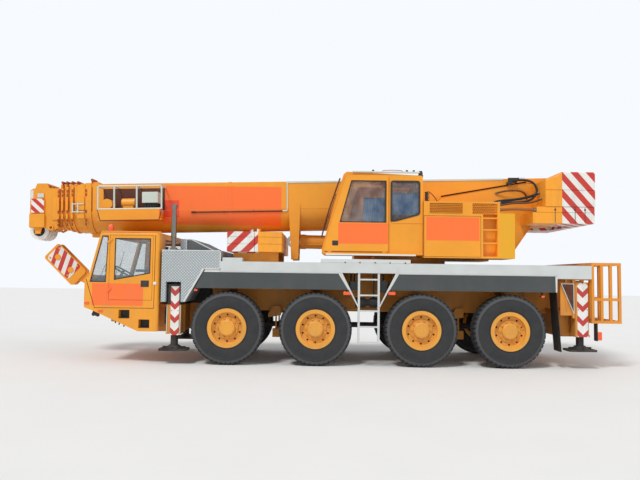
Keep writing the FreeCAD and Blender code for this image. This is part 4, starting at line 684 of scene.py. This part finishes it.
def carrier_cab():
    def side(name, s):
        y = s * (CAB_Y - 0.018)
        window("quarter_%s" % name, "chassis", QUARTER, y, s, M["glass"], 0.018, 0.03)
        window("door_window_%s" % name, "carrier_door_%s" % name, DOOR_WINDOW, y, s, M["glass"], 0.02, 0.04)
        d = "carrier_door_%s" % name
        out = s * CAB_Y
        # recessed black handle and filler cap
        k = frame_of(Kit(), [(-3.18, 1.43), (-3.03, 1.43), (-3.03, 1.55), (-3.18, 1.55)],
                     [(-3.165, 1.445), (-3.045, 1.445), (-3.045, 1.535), (-3.165, 1.535)], out - s * 0.004, out + s * 0.006)
        k.box(-3.165, -3.045, *sorted((out - s * 0.003, out + s * 0.001)), 1.445, 1.535)
        k.box(-3.15, -3.06, *sorted((out, out + s * 0.014)), 1.477, 1.503)
        k.piece("door_handle_%s" % name, d, M["black"], 0.002)
        k = Kit().rod((-2.918, out - s * 0.004, 1.499), (-2.918, out + s * 0.012, 1.499), 0.034, 0.03, 24)
        k.rod((-2.918, out + s * 0.012, 1.499), (-2.918, out + s * 0.017, 1.499), 0.018, 0.014, 20)
        k.piece("filler_cap_%s" % name, "chassis", M["white"], 0.002)
        # front corner seam, a dark strip
        k = Kit().prism([(-4.213, 1.575), (-4.203, 1.575), (-4.025, 1.03), (-4.035, 1.03)],
                        *sorted((out - s * 0.002, out + s * 0.0025)))
        # the right one stays clear of the front outrigger
        end, low = (-2.93, 1.03) if s < 0 else (-2.975, 1.60)
        y0, y1 = sorted((out - s * 0.002, out + s * 0.002))
        k.box(-4.035, end, y0, y1, 1.03, 1.038)
        k.box(-2.93, -2.922, y0, y1, low, 2.40)
        k.piece("cab_seams_%s" % name, "chassis", M["gap"], 0.0)
        # side lamps
        for tag, x, z in (("front", -4.178, 1.122), ("low", -3.919, 0.975)):
            k = Kit().prism(rounded([(x - 0.045, z - 0.02), (x + 0.045, z - 0.02), (x + 0.045, z + 0.02),
                                     (x - 0.045, z + 0.02)], 0.012), *sorted((out - s * 0.002, out + s * 0.012)))
            k.piece("side_lamp_%s_%s" % (tag, name), "chassis", M["amber_lamp"], 0.003)
        # dark step treads in the skirt's recesses
        for tag, x0, x1, z0 in (("upper", -3.575, -3.38, 0.842), ("lower", -3.20, -3.005, 0.667)):
            k = Kit().box(x0, x1, *sorted((s * 1.18, s * 1.285)), z0, z0 + 0.012)
            for j in range(5):
                u = x0 + 0.02 + j * (x1 - x0 - 0.05) / 4
                k.box(u, u + 0.012, *sorted((s * 1.185, s * 1.28)), z0 + 0.012, z0 + 0.02)
            k.box(x0, x1, *sorted((s * 1.172, s * 1.18)), z0, z0 + 0.155)
            k.piece("step_%s_%s" % (tag, name), "chassis", M["black"], 0.001)
        # tow eye under the front corner
        k = Kit().tube([(-3.985, s * 1.24, 0.975), (-4.02, s * 1.25, 0.93), (-4.06, s * 1.25, 0.885), (-4.09, s * 1.25, 0.905),
                        (-4.07, s * 1.25, 0.95)], 0.012, 10, 4)
        k.prism([(-4.085, 0.905), (-3.99, 0.862), (-3.965, 0.965), (-4.07, 0.995)], *sorted((s * 1.15, s * 1.262)))
        for x, z in ((-3.66, 0.79), (-3.59, 0.76), (-3.50, 0.725)):
            k.rod((x, s * 1.22, z - 0.045), (x + 0.012, s * 1.22, z + 0.03), 0.013, count=8)
        k.piece("tow_eye_%s" % name, "chassis", M["black"], 0.002)
        # headlamp behind the front recess
        k = Kit().prism(rounded([(s * 0.83, 1.145), (s * 1.17, 1.145), (s * 1.17, 1.265), (s * 0.83, 1.265)], 0.02),
                        -4.243, -4.222, "yz")
        k.piece("headlamp_%s" % name, "chassis", M["clear_lamp"], 0.004)
        k = Kit()
        for u in (0.91, 1.09):
            k.lathe([(0.0501, 0.0), (0.046, -0.006), (0.04, -0.002), (0.045, 0.003)], (-4.241, s * u, 1.205), 28, "x")
        k.piece("headlamp_rims_%s" % name, "chassis", M["chrome"], 0.0)
    both_sides(side)
    # windscreen with wipers
    k = Kit()
    y = 1.2
    pane = ((-4.150, 1.60), (-3.978, 2.36))
    way = Vector((pane[1][0] - pane[0][0], 0, pane[1][1] - pane[0][1])).normalized()
    out = Vector((-way.z, 0, way.x))
    if out.x > 0:
        out = -out
    lo, hi = Vector((pane[0][0], 0, pane[0][1])), Vector((pane[1][0], 0, pane[1][1]))
    corner = rounded([(-y, 0.0), (y, 0.0), (y, (hi - lo).length), (-y, (hi - lo).length)], 0.06)
    rings = []
    for d in (-0.003, 0.003):
        rings.append([lo + way * v + out * d + Vector((0, u, 0)) for u, v in corner])
    k.solid(rings).piece("windscreen_glass", "chassis", M["glass"], 0.0)
    k = Kit()
    for u in (-0.62, 0.25):
        a = lo + out * 0.02 + Vector((0, u, 0)) + way * 0.02
        b = a + way * 0.30 + Vector((0, 0.20, 0))
        k.tube([a, (a + b) / 2 + out * 0.02, b + out * 0.01], 0.006, 8, 3)
        k.rod(b - Vector((0, 0.02, 0)) - way * 0.22 + out * 0.008, b + way * 0.24 + out * 0.008, 0.006, count=6)
        k.rod(a - out * 0.02, a + out * 0.012, 0.02, 0.014, 16)
    k.piece("windscreen_wipers", "chassis", M["black"], 0.0)
    # roof beacon and roof gutters
    k = Kit().lathe([(0.0, 0.0), (0.062, 0.0), (0.06, 0.018), (0.05, 0.022), (0.0, 0.022)], (-3.845, -1.08, 2.465), 28, "z")
    k.piece("cab_beacon_foot", "chassis", M["black"], 0.0)
    k = Kit().lathe([(0.0, 0.02), (0.05, 0.02), (0.052, 0.09), (0.044, 0.13), (0.03, 0.148), (0.0, 0.152)],
                    (-3.845, -1.08, 2.465), 28, "z")
    k.piece("cab_beacon", "chassis", M["amber_lamp"], 0.0)
    k = Kit()
    for s in (-1, 1):
        k.tube([(-3.93, s * 1.300, 2.425), (-3.90, s * 1.306, 2.452), (-3.86, s * 1.309, 2.462), (-2.9, s * 1.309, 2.462),
                (-2.86, s * 1.305, 2.45)], 0.009, 8, 4)
    k.piece("roof_gutters", "chassis", M["orange_plain"], 0.0)
    # front grille slats
    k = Kit()
    for j in range(5):
        z = 1.175 + j * 0.055
        k.box(-4.243, -4.236, -0.60, 0.60, z, z + 0.016)
    k.piece("front_grille", "chassis", M["black"], 0.001)


# Louvres, seams, handles and glass of the superstructure

def superstructure():
    y = -1.328
    cab = "turntable"
    window("crane_door_window", "crane_cab_door", CRANE_PANE, -1.305, -1, M["cab_glass"], 0.02, 0.05)
    window("crane_rear_window", cab, CRANE_REAR, -1.262, -1, M["cab_glass"], 0.02, 0.05)
    k = Kit()
    a, b = Vector((0.262, 0, 2.55)), Vector((0.555, 0, 3.53))
    way = (b - a).normalized()
    out = Vector((-way.z, 0, way.x))
    rim = rounded([(-1.215, 0.0), (-0.58, 0.0), (-0.58, (b - a).length), (-1.215, (b - a).length)], 0.05)
    k.solid([[a + way * v + out * d + Vector((0, u, 0)) for u, v in rim] for d in (-0.003, 0.003)])
    k.piece("crane_windscreen", cab, M["cab_glass"], 0.0)
    k = Kit()
    k.tube([a + out * 0.03 + Vector((0, -1.225, 0)) - way * 0.15, a + out * 0.05 + Vector((0, -1.225, 0)) + way * 0.35,
            b + out * 0.03 + Vector((0, -1.225, 0))], 0.014, 10, 4)
    k.tube([a + out * 0.03 + Vector((0, -0.9, 0)), a + out * 0.05 + Vector((0, -0.95, 0)) + way * 0.45], 0.008, 8, 3)
    k.rod(a + out * 0.02 + Vector((0, -0.95, 0)) + way * 0.25, a + out * 0.02 + Vector((0, -0.95, 0)) + way * 0.75, 0.007, count=6)
    k.piece("crane_screen_rail_and_wiper", cab, M["recess"], 0.0)
    # handle and seam of the sliding door
    k = frame_of(Kit(), [(0.39, 2.255), (0.50, 2.255), (0.50, 2.345), (0.39, 2.345)],
                 [(0.402, 2.267), (0.488, 2.267), (0.488, 2.333), (0.402, 2.333)], -1.324, -1.331)
    k.box(0.402, 0.488, -1.3275, -1.322, 2.267, 2.333)
    k.box(0.41, 0.48, -1.336, -1.326, 2.29, 2.31)
    k.piece("crane_door_handle", "crane_cab_door", M["black"], 0.002)
    k = Kit()
    k.box(0.27, 1.96, -1.320, -1.306, 2.07, 2.10)
    k.piece("crane_door_rail_cap", cab, M["white"], 0.002)
    # curtains, roof strip with its small fittings, hose and beacon
    curtain("crane_door_curtain", cab, 0.97, 1.375, 2.70, 3.16, -1.268)
    curtain("crane_rear_curtain", cab, 1.52, 2.01, 2.86, 3.26, -1.238)
    Kit().box(0.76, 2.03, -1.30, -1.24, 3.645, 3.672).piece("crane_roof_strip", cab, M["pale"], 0.003)
    k = Kit()
    for x in (1.15, 1.79, 1.92):
        k.box(x - 0.02, x + 0.02, -1.29, -1.25, 3.668, 3.70)
    k.piece("crane_roof_fittings", cab, M["black"], 0.002)
    k = Kit().tube([(1.32, -1.27, 3.672), (1.36, -1.27, 3.690), (1.52, -1.272, 3.697), (1.68, -1.27, 3.690),
                    (1.72, -1.27, 3.672)], 0.006, 8, 4)
    k.piece("crane_roof_pipe", cab, M["red"], 0.0)
    k = Kit().rod((2.06, -1.2, 3.585), (2.06, -1.2, 3.62), 0.05, count=20)
    k.lathe([(0.0, 0.0), (0.04, 0.0), (0.042, 0.045), (0.03, 0.078), (0.0, 0.083)], (2.06, -1.2, 3.62), 24, "z")
    k.piece("crane_cab_beacon", cab, M["black"], 0.0)
    # machine housing: seams, perforated vents, coil pipe on its front corner
    k = Kit()
    z0, z1 = 2.065, 2.838
    for x in (2.106, 3.172):
        k.box(x, x + 0.006, -1.3315, -1.327, z0, z1)
    k.box(2.106, 3.178, -1.3315, -1.327, z1 - 0.006, z1)
    k.box(2.106, 3.178, -1.3315, -1.327, z0, z0 + 0.006)
    k.piece("housing_seams", cab, M["gap"], 0.0)
    k = Kit()
    for x0, x1 in ((2.218, 2.836), (3.023, 3.49)):
        for i in range(int((x1 - x0) / 0.036)):
            for j in range(6):
                u = x0 + i * 0.036 + (0.018 if j % 2 else 0.0)
                v = 2.885 + j * 0.038
                k.rod((u, -1.3275, v), (u, -1.332, v), 0.008, count=8)
    k.piece("housing_vents", cab, M["vent"], 0.0)
    turns = [(2.18 + 0.038 * math.cos(t * 0.785), -1.24 + 0.038 * math.sin(t * 0.785), 3.108 + t * 0.0034)
             for t in range(56)]
    k = Kit().tube(turns, 0.008, 8, 1)
    k.tube([turns[-1], (2.26, -1.22, 3.27), (2.36, -1.10, 3.20), (2.44, -0.98, 3.115)], 0.008, 8, 5)
    k.rod((2.18, -1.24, 3.10), (2.18, -1.24, 3.29), 0.014, count=10)
    k.piece("coil_pipe", cab, M["black"], 0.0)
    # painted shadow of the left side plate's flange, a dark strip along its edge
    k = Kit().prism([(2.58, 3.297), (4.30, 3.612), (4.30, 3.637), (2.58, 3.322)], -0.514, -0.504)
    k.piece("side_plate_painted_shadow", cab, M["recess"], 0.001)
    # counterweight: lifting pins, seams and bolts
    k = Kit()
    for s in (-1, 1):
        for x in (4.609, 4.986, 5.174):
            k.box(x - 0.006, x + 0.006, *sorted((s * 1.236, s * 1.2425)), 2.74, 3.035)
            k.rod((x, s * 1.236, 2.99), (x, s * 1.246, 2.99), 0.018, count=14)
    for x in (4.95, 5.2):
        for y in (-1.1, -0.7, 0.7, 1.1):
            k.rod((x, y, 3.66), (x, y, 3.72), 0.03, count=16)
    k.piece("counterweight_pins", cab, M["dark"], 0.003)


def hose(name, points, r, mat):
    """A hose that bends through the given points, from one fitting to the other."""
    data = bpy.data.curves.new(name, "CURVE")
    data.dimensions = "3D"
    data.bevel_depth = r
    data.bevel_resolution = 4
    line = data.splines.new("NURBS")
    line.points.add(len(points) - 1)
    for point, place_at in zip(line.points, points):
        point.co = (*place_at, 1.0)
    line.order_u = 3
    line.use_endpoint_u = True
    line.resolution_u = 8
    data.materials.append(mat)
    o = bpy.data.objects.new(name, data)
    bpy.context.scene.collection.objects.link(o)
    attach(o, "turntable")
    ends = Kit()
    for a, b in ((points[0], points[1]), (points[-1], points[-2])):
        a, b = Vector(a), Vector(b)
        ends.rod(a, a + (b - a).normalized() * 0.05, r * 1.3, count=6)
    ferrules = ends.piece(name + "_ferrules", "turntable", M["steel"], 0.0)


def hoses():
    """Hydraulic hoses between the left housing, the side plate and the counterweight's front."""
    hose("valve_hose_1", ((3.95, -0.515, 3.55), (3.98, -0.57, 3.64), (4.22, -0.68, 3.645), (4.36, -0.78, 3.575),
                          (4.392, -0.86, 3.45), (4.371, -0.93, 3.319), (4.22, -1.0, 3.19), (4.05, -1.05, 3.145),
                          (3.80, -1.10, 3.135), (3.56, -1.12, 3.118)), 0.022, M["hose"])
    hose("valve_hose_2", ((3.46, -1.03, 3.112), (3.52, -1.02, 3.15), (3.70, -1.0, 3.181), (3.959, -0.98, 3.206),
                          (4.263, -0.95, 3.274), (4.425, -0.93, 3.35)), 0.024, M["hose"])
    hose("valve_hose_3", ((3.537, -1.17, 3.06), (3.66, -1.17, 3.08), (3.851, -1.16, 3.114), (4.133, -1.12, 3.122),
                          (4.30, -1.08, 3.16), (4.425, -1.06, 3.22)), 0.018, M["brown_hose"])
    hose("valve_hose_4", ((3.537, -1.21, 2.973), (3.66, -1.21, 2.985), (3.851, -1.21, 2.998), (4.05, -1.21, 2.99),
                          (4.258, -1.20, 2.99)), 0.027, M["tan_hose"])
    hose("valve_hose_5", ((3.68, -0.505, 3.385), (3.76, -0.56, 3.405), (3.894, -0.60, 3.432), (4.133, -0.62, 3.436),
                          (4.27, -0.60, 3.37), (4.31, -0.505, 3.28)), 0.017, M["brown_hose"])
    k = Kit().box(3.90, 4.00, -0.60, -0.50, 3.56, 3.612)
    k.box(3.93, 4.10, -0.565, -0.515, 3.60, 3.70)
    k.rod((4.10, -0.54, 3.685), (4.16, -0.54, 3.69), 0.02, count=12)
    k.piece("valve_fitting", "turntable", M["black"], 0.003)
    Kit().box(4.14, 4.26, -0.565, -0.515, 3.672, 3.705).piece("valve_tag", "turntable", M["white"], 0.003)


# Boom: equipment on its left side, side line, collar pads, rope guides and head

BOOM_TILT = math.radians(1.5)
PIVOT = (4.51, 3.25)


def on_boom(x, y, z):
    """A point given along and across the boom, from its pivot."""
    c, s = math.cos(BOOM_TILT), math.sin(BOOM_TILT)
    return (PIVOT[0] + x * c - z * s, y, PIVOT[1] + x * s + z * c)


def on_side(kit, x0, x1, z0, z1, y0, y1):
    """A box along the boom, from its pivot."""
    corners = ((x0, z0), (x1, z0), (x1, z1), (x0, z1))
    return kit.solid([[on_boom(u, y, v) for u, v in corners] for y in sorted((y0, y1))])


def boom():
    b = "boom_base"
    k = Kit().rod(on_boom(-6.90, -0.436, -0.135), on_boom(-5.12, -0.436, -0.135), 0.013, count=8)
    for x in (-6.3, -5.7, -5.15):
        k.rod(on_boom(x, -0.425, -0.135), on_boom(x, -0.452, -0.135), 0.018, count=8)
    k.piece("boom_side_line", b, M["recess"], 0.0)
    k = Kit().rod(on_boom(-6.96, -0.436, -0.135), on_boom(-6.88, -0.436, -0.135), 0.02, count=10)
    k.piece("boom_side_line_end", b, M["black"], 0.0)
    k = Kit().tube([on_boom(-5.12, -0.436, -0.135), on_boom(-5.03, -0.437, -0.12), on_boom(-5.02, -0.438, 0.0),
                    on_boom(-5.02, -0.438, 0.44)], 0.014, 10, 4)
    on_side(k, -5.04, -0.64, 0.434, 0.468, -0.440, -0.426)
    k.piece("boom_side_pipe", b, M["pale"], 0.0)
    k = Kit()
    for s in (-1, 1):
        k.rod(on_boom(-8.85, s * 0.431, -0.09), on_boom(0.3, s * 0.431, -0.09), 0.004, count=6)
    k.piece("boom_welds", b, M["orange_plain"], 0.0)
    # guard rails, equipment and shaded side behind them
    k = Kit()
    for z in (-0.085, 0.37):
        k.rod(on_boom(-8.745, -0.742, z), on_boom(-7.49, -0.742, z), 0.0174, count=12)
    for x in (-8.745, -8.425, -7.98, -7.49):
        k.rod(on_boom(x, -0.742, -0.155), on_boom(x, -0.742, 0.37), 0.0174, count=12)
        k.rod(on_boom(x, -0.742, 0.37), on_boom(x, -0.43, 0.37), 0.0174, count=12)
    k.piece("tray_rails", b, M["pale"], 0.0)
    k = on_side(Kit(), -7.888, -7.572, 0.037, 0.253, -0.703, -0.44)
    k.piece("tray_box", b, M["pale"], 0.004)
    # painted shadow: a dark plate on the boom's side behind the tray's rails and equipment
    k = on_side(Kit(), -8.74, -7.50, -0.085, 0.36, -0.437, -0.428)
    k.piece("tray_painted_shadow", b, M["recess"], 0.0)
    k = on_side(Kit(), -7.858, -7.612, -0.292, 0.048, -0.644, -0.44)
    for x in (-7.83, -7.78, -7.73, -7.68, -7.64):
        k.tube([on_boom(x, -0.66, 0.05), on_boom(x + 0.01, -0.668, -0.05), on_boom(x - 0.01, -0.66, -0.2)], 0.009, 8, 4)
    k.piece("tray_hose_box", b, M["black"], 0.002)
    k = Kit()
    for x0, z0, x1, z1 in ((-8.755, -0.095, -8.695, -0.31), (-8.695, -0.31, -7.54, -0.31), (-7.54, -0.31, -7.48, -0.095)):
        k.rod(on_boom(x0, -0.7565, z0), on_boom(x1, -0.7565, z1), 0.009, count=8)
    k.piece("tray_outline", b, M["recess"], 0.0)
    # bright rods beside the first collars
    k = Kit()
    for z in (-0.10, 0.06):
        k.rod(on_boom(-9.38, -0.452, z), on_boom(-9.135, -0.452, z), 0.011, count=10)
    for x in (-9.365, -9.255):
        on_side(k, x - 0.012, x + 0.012, -0.12, 0.08, -0.456, -0.42)
    k.piece("collar_rods", "boom_section_1", M["pale"], 0.0)
    # rope guides on the crests, pads on the sides of the collars, and a painted shadow behind each collar
    for i, front in enumerate((-9.105, -9.395, -9.51, -9.62, -9.715)):
        body = "boom_section_%d" % i if i else b
        wide, crest = (0.452 - 0.032 * i, 0.504) if i else (0.45, 0.554)
        k, pads = Kit(), Kit()
        for y in (-0.13, 0.07):
            on_side(k, front + 0.004, front + 0.034, crest - 0.03, crest + 0.045, y, y + 0.06)
        x, _, z = on_boom(front + 0.019, 0, crest + 0.045)
        k.rod((x, -0.14, z), (x, 0.14, z), 0.026, count=16)
        k.piece("rope_guide_%d" % i, body, M["pad"], 0.002)
        for s in (-1, 1):
            for v in (0.33, 0.25, -0.09, -0.27, -0.35):
                on_side(pads, front + 0.004, front + 0.030, v - 0.028, v + 0.028, s * (wide - 0.02), s * (wide + 0.012))
            # painted shadow: a dark strip on the section just behind its collar
            rear = front + (0.122 if i == 0 else 0.036)
            half = 0.43 - 0.032 * i
            on_side(pads, rear, rear + 0.018, -0.09, 0.40, s * (half - 0.004), s * (half + 0.003))
        pads.piece("collar_pads_and_painted_shadows_%d" % i, body, M["pad"], 0.001)
    # painted plates on the head's cheeks
    head = "boom_section_4"
    for name, s in SIDES:
        on_side(Kit(), -10.252, -9.993, -0.092, 0.195, s * 0.328, s * 0.334).piece(
            "head_panel_%s" % name, head, M["head_plate"], 0.002)
        k = on_side(Kit(), -10.130, -10.003, 0.219, 0.302, s * 0.318, s * 0.324)
        k.piece("head_block_plate_%s" % name, head, M["pale"], 0.002)
        wedge = ((-10.284, 0.154), (-10.222, 0.154), (-10.222, 0.375), (-10.284, 0.362))
        k = Kit().solid([[on_boom(u, y, v) for u, v in wedge] for y in sorted((s * 0.298, s * 0.304))])
        k.piece("head_wedge_%s" % name, head, M["white"], 0.001)


def hook():
    """Striped plates on the stowed hook block's cheeks."""
    centre, along, across = Vector((-5.09, 0, 1.85)), Vector((0.719, 0, -0.695)), Vector((0.695, 0, 0.719))
    for name, s in SIDES:
        rim = rounded([(-0.373, -0.172), (0.261, -0.172), (0.261, 0.198), (-0.373, 0.198)], 0.05)
        k = Kit().solid([[centre + along * u + across * v + Vector((0, y, 0)) for u, v in rim]
                         for y in sorted((s * 0.108, s * 0.114))])
        k.piece("hook_plate_%s" % name, "chassis", M["hook_plate"], 0.002)
        k = Kit()
        for u, v, r in ((-0.215, 0.0, 0.062), (0.165, 0.0, 0.062), (-0.32, 0.15, 0.02), (0.2, 0.15, 0.02),
                        (-0.32, -0.12, 0.02), (0.2, -0.12, 0.02)):
            q = centre + along * u + across * v
            k.rod((q.x, s * 0.112, q.z), (q.x, s * 0.127, q.z), r, r * 0.92, 20)
        k.piece("hook_bolts_%s" % name, "chassis", M["orange_plain"], 0.0)


def dress_outriggers():
    for name, x, half, s, z0, z1 in (
        ("front_left", -2.54, 0.079, -1, 0.54, 1.451), ("front_right", -2.82, 0.079, 1, 0.54, 1.451),
        ("rear_left", 5.097, 0.10, -1, 0.60, 1.62), ("rear_right", 4.835, 0.10, 1, 0.60, 1.62),
    ):
        y, body = s * 1.26, "outrigger_" + name
        top = 0.09 if "rear" in name else 0.0
        rim = [(x - half, z0), (x + half, z0), (x + half, z1 - top)]
        if top:
            rim += [(x + half * math.cos(t * math.pi / 8), z1 - top + top * math.sin(t * math.pi / 8)) for t in range(1, 8)]
        rim.append((x - half, z1 - top))
        Kit().prism(rim, *sorted((y, y + s * 0.008))).piece("chevron_plate_" + name, body, M["chevron_" + name], 0.002)
        k = Kit().bolts([(x + u, y + s * 0.006, z) for u in (0.018 - half, half - 0.018)
                         for z in (z0 + 0.05, (z0 + z1) / 2, z1 - 0.12)], (0, s, 0), 0.009, 0.008)
        k.piece("jack_bolts_" + name, body, M["steel"], 0.0)
    # pale edges and hose guard of the front jacks
    for name, x, s in (("front_left", -2.565, -1), ("front_right", -2.82, 1)):
        k = Kit()
        for u in (x - 0.128, x + 0.122):
            k.box(u, u + 0.012, *sorted((s * 1.255, s * 1.270)), 0.584, 1.104)
        k.piece("jack_edges_" + name, "outrigger_" + name, M["pale"], 0.001)
        k = Kit().box(x - 0.19, x - 0.132, *sorted((s * 1.12, s * 1.16)), 0.74, 1.06)
        k.tube([(x - 0.15, s * 1.17, 1.05), (x - 0.175, s * 1.19, 0.95), (x - 0.16, s * 1.19, 0.84), (x - 0.15, s * 1.17, 0.75)],
               0.012, 10, 4)
        for z in (0.80, 0.90, 1.0):
            k.rod((x - 0.17, s * 1.155, z), (x - 0.17, s * 1.19, z), 0.014, count=8)
        k.piece("jack_hose_guard_" + name, "outrigger_" + name, M["dark"], 0.002)


def deck():
    # bright trims along the engine bay, the mudguards and the deck
    for name, s in SIDES:
        y0, y1 = sorted((s * 1.3285, s * 1.3335))
        k = Kit().box(-2.795, -1.693, y0, y1, 2.112, 2.131)
        k.box(-1.713, -1.692, y0, y1, 1.782, 2.131)
        k.box(-1.996, -1.693, y0, y1, 1.780, 1.797)
        k.prism([(-2.350, 1.16), (-1.996, 1.78), (-2.026, 1.797), (-2.380, 1.177)], y0, y1)
        k.box(-1.99, -1.700, *sorted((s * 1.300, s * 1.316)), 1.736, 1.783)
        k.box(0.18, 1.86, y0, y1, 1.932, 1.999)
        k.piece("bay_trim_%s" % name, "chassis", M["alloy"], 0.001)
        k = Kit()
        for x in (0.637, 0.912, 1.198, 1.477, 1.763):
            k.rod((x, s * 1.331, 1.937), (x, s * 1.336, 1.937), 0.013, count=12)
        k.piece("deck_strip_holes_%s" % name, "chassis", M["gap"], 0.0)
        y0, y1 = sorted((s * 1.316, s * 1.324))
        k = Kit()
        for top, low in ((0.523, 0.713), (1.635, 1.46), (4.59, 4.59)):
            k.prism([(top - 0.02, 1.74), (top + 0.02, 1.74), (low + 0.014, 1.425), (low - 0.014, 1.425)], y0, y1)
        for x0, x1 in ((-2.0, 0.523), (1.635, 4.59)):
            k.box(x0, x1, y0, y1, 1.725, 1.742)
        k.piece("guard_trim_%s" % name, "chassis", M["alloy"], 0.002)
        k, brackets = Kit(), Kit()
        for x, z, w, h in ((-2.15, 1.385, 0.03, 0.018), (0.679, 1.36, 0.07, 0.03), (1.516, 1.37, 0.066, 0.03),
                           (4.34, 1.345, 0.03, 0.018)):
            rim = rounded([(x - w, z - h), (x + w, z - h), (x + w, z + h), (x - w, z + h)], 0.012)
            k.prism(rim, *sorted((s * 1.295, s * 1.322)))
            brackets.box(x - w - 0.01, x + w + 0.01, *sorted((s * 1.22, s * 1.300)), z - 0.012, z + 0.012)
            brackets.box(x - 0.01, x + 0.01, *sorted((s * 1.24, s * 1.28)), z, 1.44)
        k.piece("marker_lamps_%s" % name, "chassis", M["amber_lamp"], 0.003)
        brackets.piece("marker_brackets_%s" % name, "chassis", M["black"], 0.002)
        # raised intake: mesh on its slopes, bright edges
        y0, y1 = sorted((s * 0.898, s * 0.905))
        k = Kit().prism([(-2.42, 2.14), (-1.925, 2.14), (-2.33, 2.338), (-2.42, 2.338)], y0, y1)
        k.piece("intake_side_%s" % name, "chassis", M["mesh"], 0.0)
        k = Kit().prism([(-1.885, 2.131), (-1.850, 2.131), (-2.325, 2.364), (-2.345, 2.350)], y0, y1)
        k.prism([(-2.433, 2.131), (-2.413, 2.131), (-2.413, 2.362), (-2.433, 2.362)], y0, y1)
        k.piece("intake_edges_%s" % name, "chassis", M["alloy"], 0.0)
        # rear lamp under the rack
        rim = rounded([(5.36, 0.545), (5.44, 0.545), (5.44, 0.70), (5.36, 0.70)], 0.02)
        k = Kit().prism(rim, *sorted((s * 1.18, s * 1.30)))
        k.piece("rear_lamp_%s" % name, "chassis", M["amber_lamp"], 0.006)
        k = Kit().box(5.345, 5.362, *sorted((s * 1.16, s * 1.30)), 0.53, 0.90)
        k.piece("rear_lamp_bracket_%s" % name, "chassis", M["dark"], 0.003)
    k = Kit().prism([(-1.90, 2.146), (-1.895, 2.150), (-2.32, 2.359), (-2.325, 2.355)], -0.85, 0.85)
    k.piece("intake_mesh", "chassis", M["mesh"], 0.0)
    # recess with fittings beside the left rear jack; its dark back is painted shade
    k = Kit().prism([(4.715, 1.575), (4.925, 1.575), (4.925, 1.06)], -1.2675, -1.2615)
    for x, z in ((4.80, 1.50), (4.87, 1.43), (4.89, 1.28)):
        k.rod((x, -1.265, z), (x, -1.285, z), 0.02, count=12)
    k.piece("jack_recess", "chassis", M["recess"], 0.0)
    k = Kit()
    for a, b in (((4.70, 1.59), (4.935, 1.59)), ((4.70, 1.59), (4.935, 1.03)), ((4.935, 1.59), (4.935, 1.03))):
        k.rod((a[0], -1.2655, a[1]), (b[0], -1.2655, b[1]), 0.008, count=8)
    k.piece("jack_recess_edges", "chassis", M["pale"], 0.0)


wheels()
carrier_cab()
superstructure()
hoses()
boom()
hook()
dress_outriggers()
deck()


# Stage, light and camera

def stage():
    bpy.ops.mesh.primitive_plane_add(size=120)
    floor = bpy.context.object
    floor.name = "floor"
    n = Nodes("pale_floor")
    floor.data.materials.append(n.done(n.mix(n.noise(0.8), srgb("#E9E8E5"), srgb("#E3E2DF")), 0.9))
    world = bpy.data.worlds.new("studio")
    world.use_nodes = True
    bpy.context.scene.world = world
    tree = world.node_tree
    back = tree.nodes["Background"]
    back.inputs["Color"].default_value = (0.93, 0.96, 1.0, 1.0)
    path = tree.nodes.new("ShaderNodeLightPath")
    plain = tree.nodes.new("ShaderNodeMapRange")
    plain.inputs["To Min"].default_value = 0.62
    plain.inputs["To Max"].default_value = 1.0
    seen = tree.nodes.new("ShaderNodeMath")
    seen.operation = "MAXIMUM"
    tree.links.new(path.outputs["Is Camera Ray"], seen.inputs[0])
    tree.links.new(path.outputs["Is Transmission Ray"], seen.inputs[1])
    tree.links.new(seen.outputs[0], plain.inputs["Value"])
    tree.links.new(plain.outputs["Result"], back.inputs["Strength"])
    for name, strength, size, turn in (
        ("key", 1.7, 12, (38, 0, -32)), ("fill", 0.45, 40, (60, 0, 60)),
    ):
        data = bpy.data.lights.new(name, "SUN")
        data.energy = strength
        data.angle = math.radians(size)
        sun = bpy.data.objects.new(name, data)
        sun.rotation_euler = [math.radians(a) for a in turn]
        bpy.context.scene.collection.objects.link(sun)


def camera():
    data = bpy.data.cameras.new("camera")
    data.sensor_width = 36.0
    data.lens = 36.0 * 628 / 640
    data.clip_end = 300
    cam = bpy.data.objects.new("camera", data)
    bpy.context.scene.collection.objects.link(cam)
    pitch, yaw, roll = 3.41, 0.0, 0.75
    cam.location = (0.16, -13.08, 1.65)
    cam.rotation_euler = (Matrix.Rotation(math.radians(yaw), 3, "Z")
                          @ Matrix.Rotation(math.radians(90 + pitch), 3, "X")
                          @ Matrix.Rotation(math.radians(roll), 3, "Z")).to_euler()
    bpy.context.scene.camera = cam
    bpy.context.scene.view_settings.view_transform = "Standard"


stage()
camera()
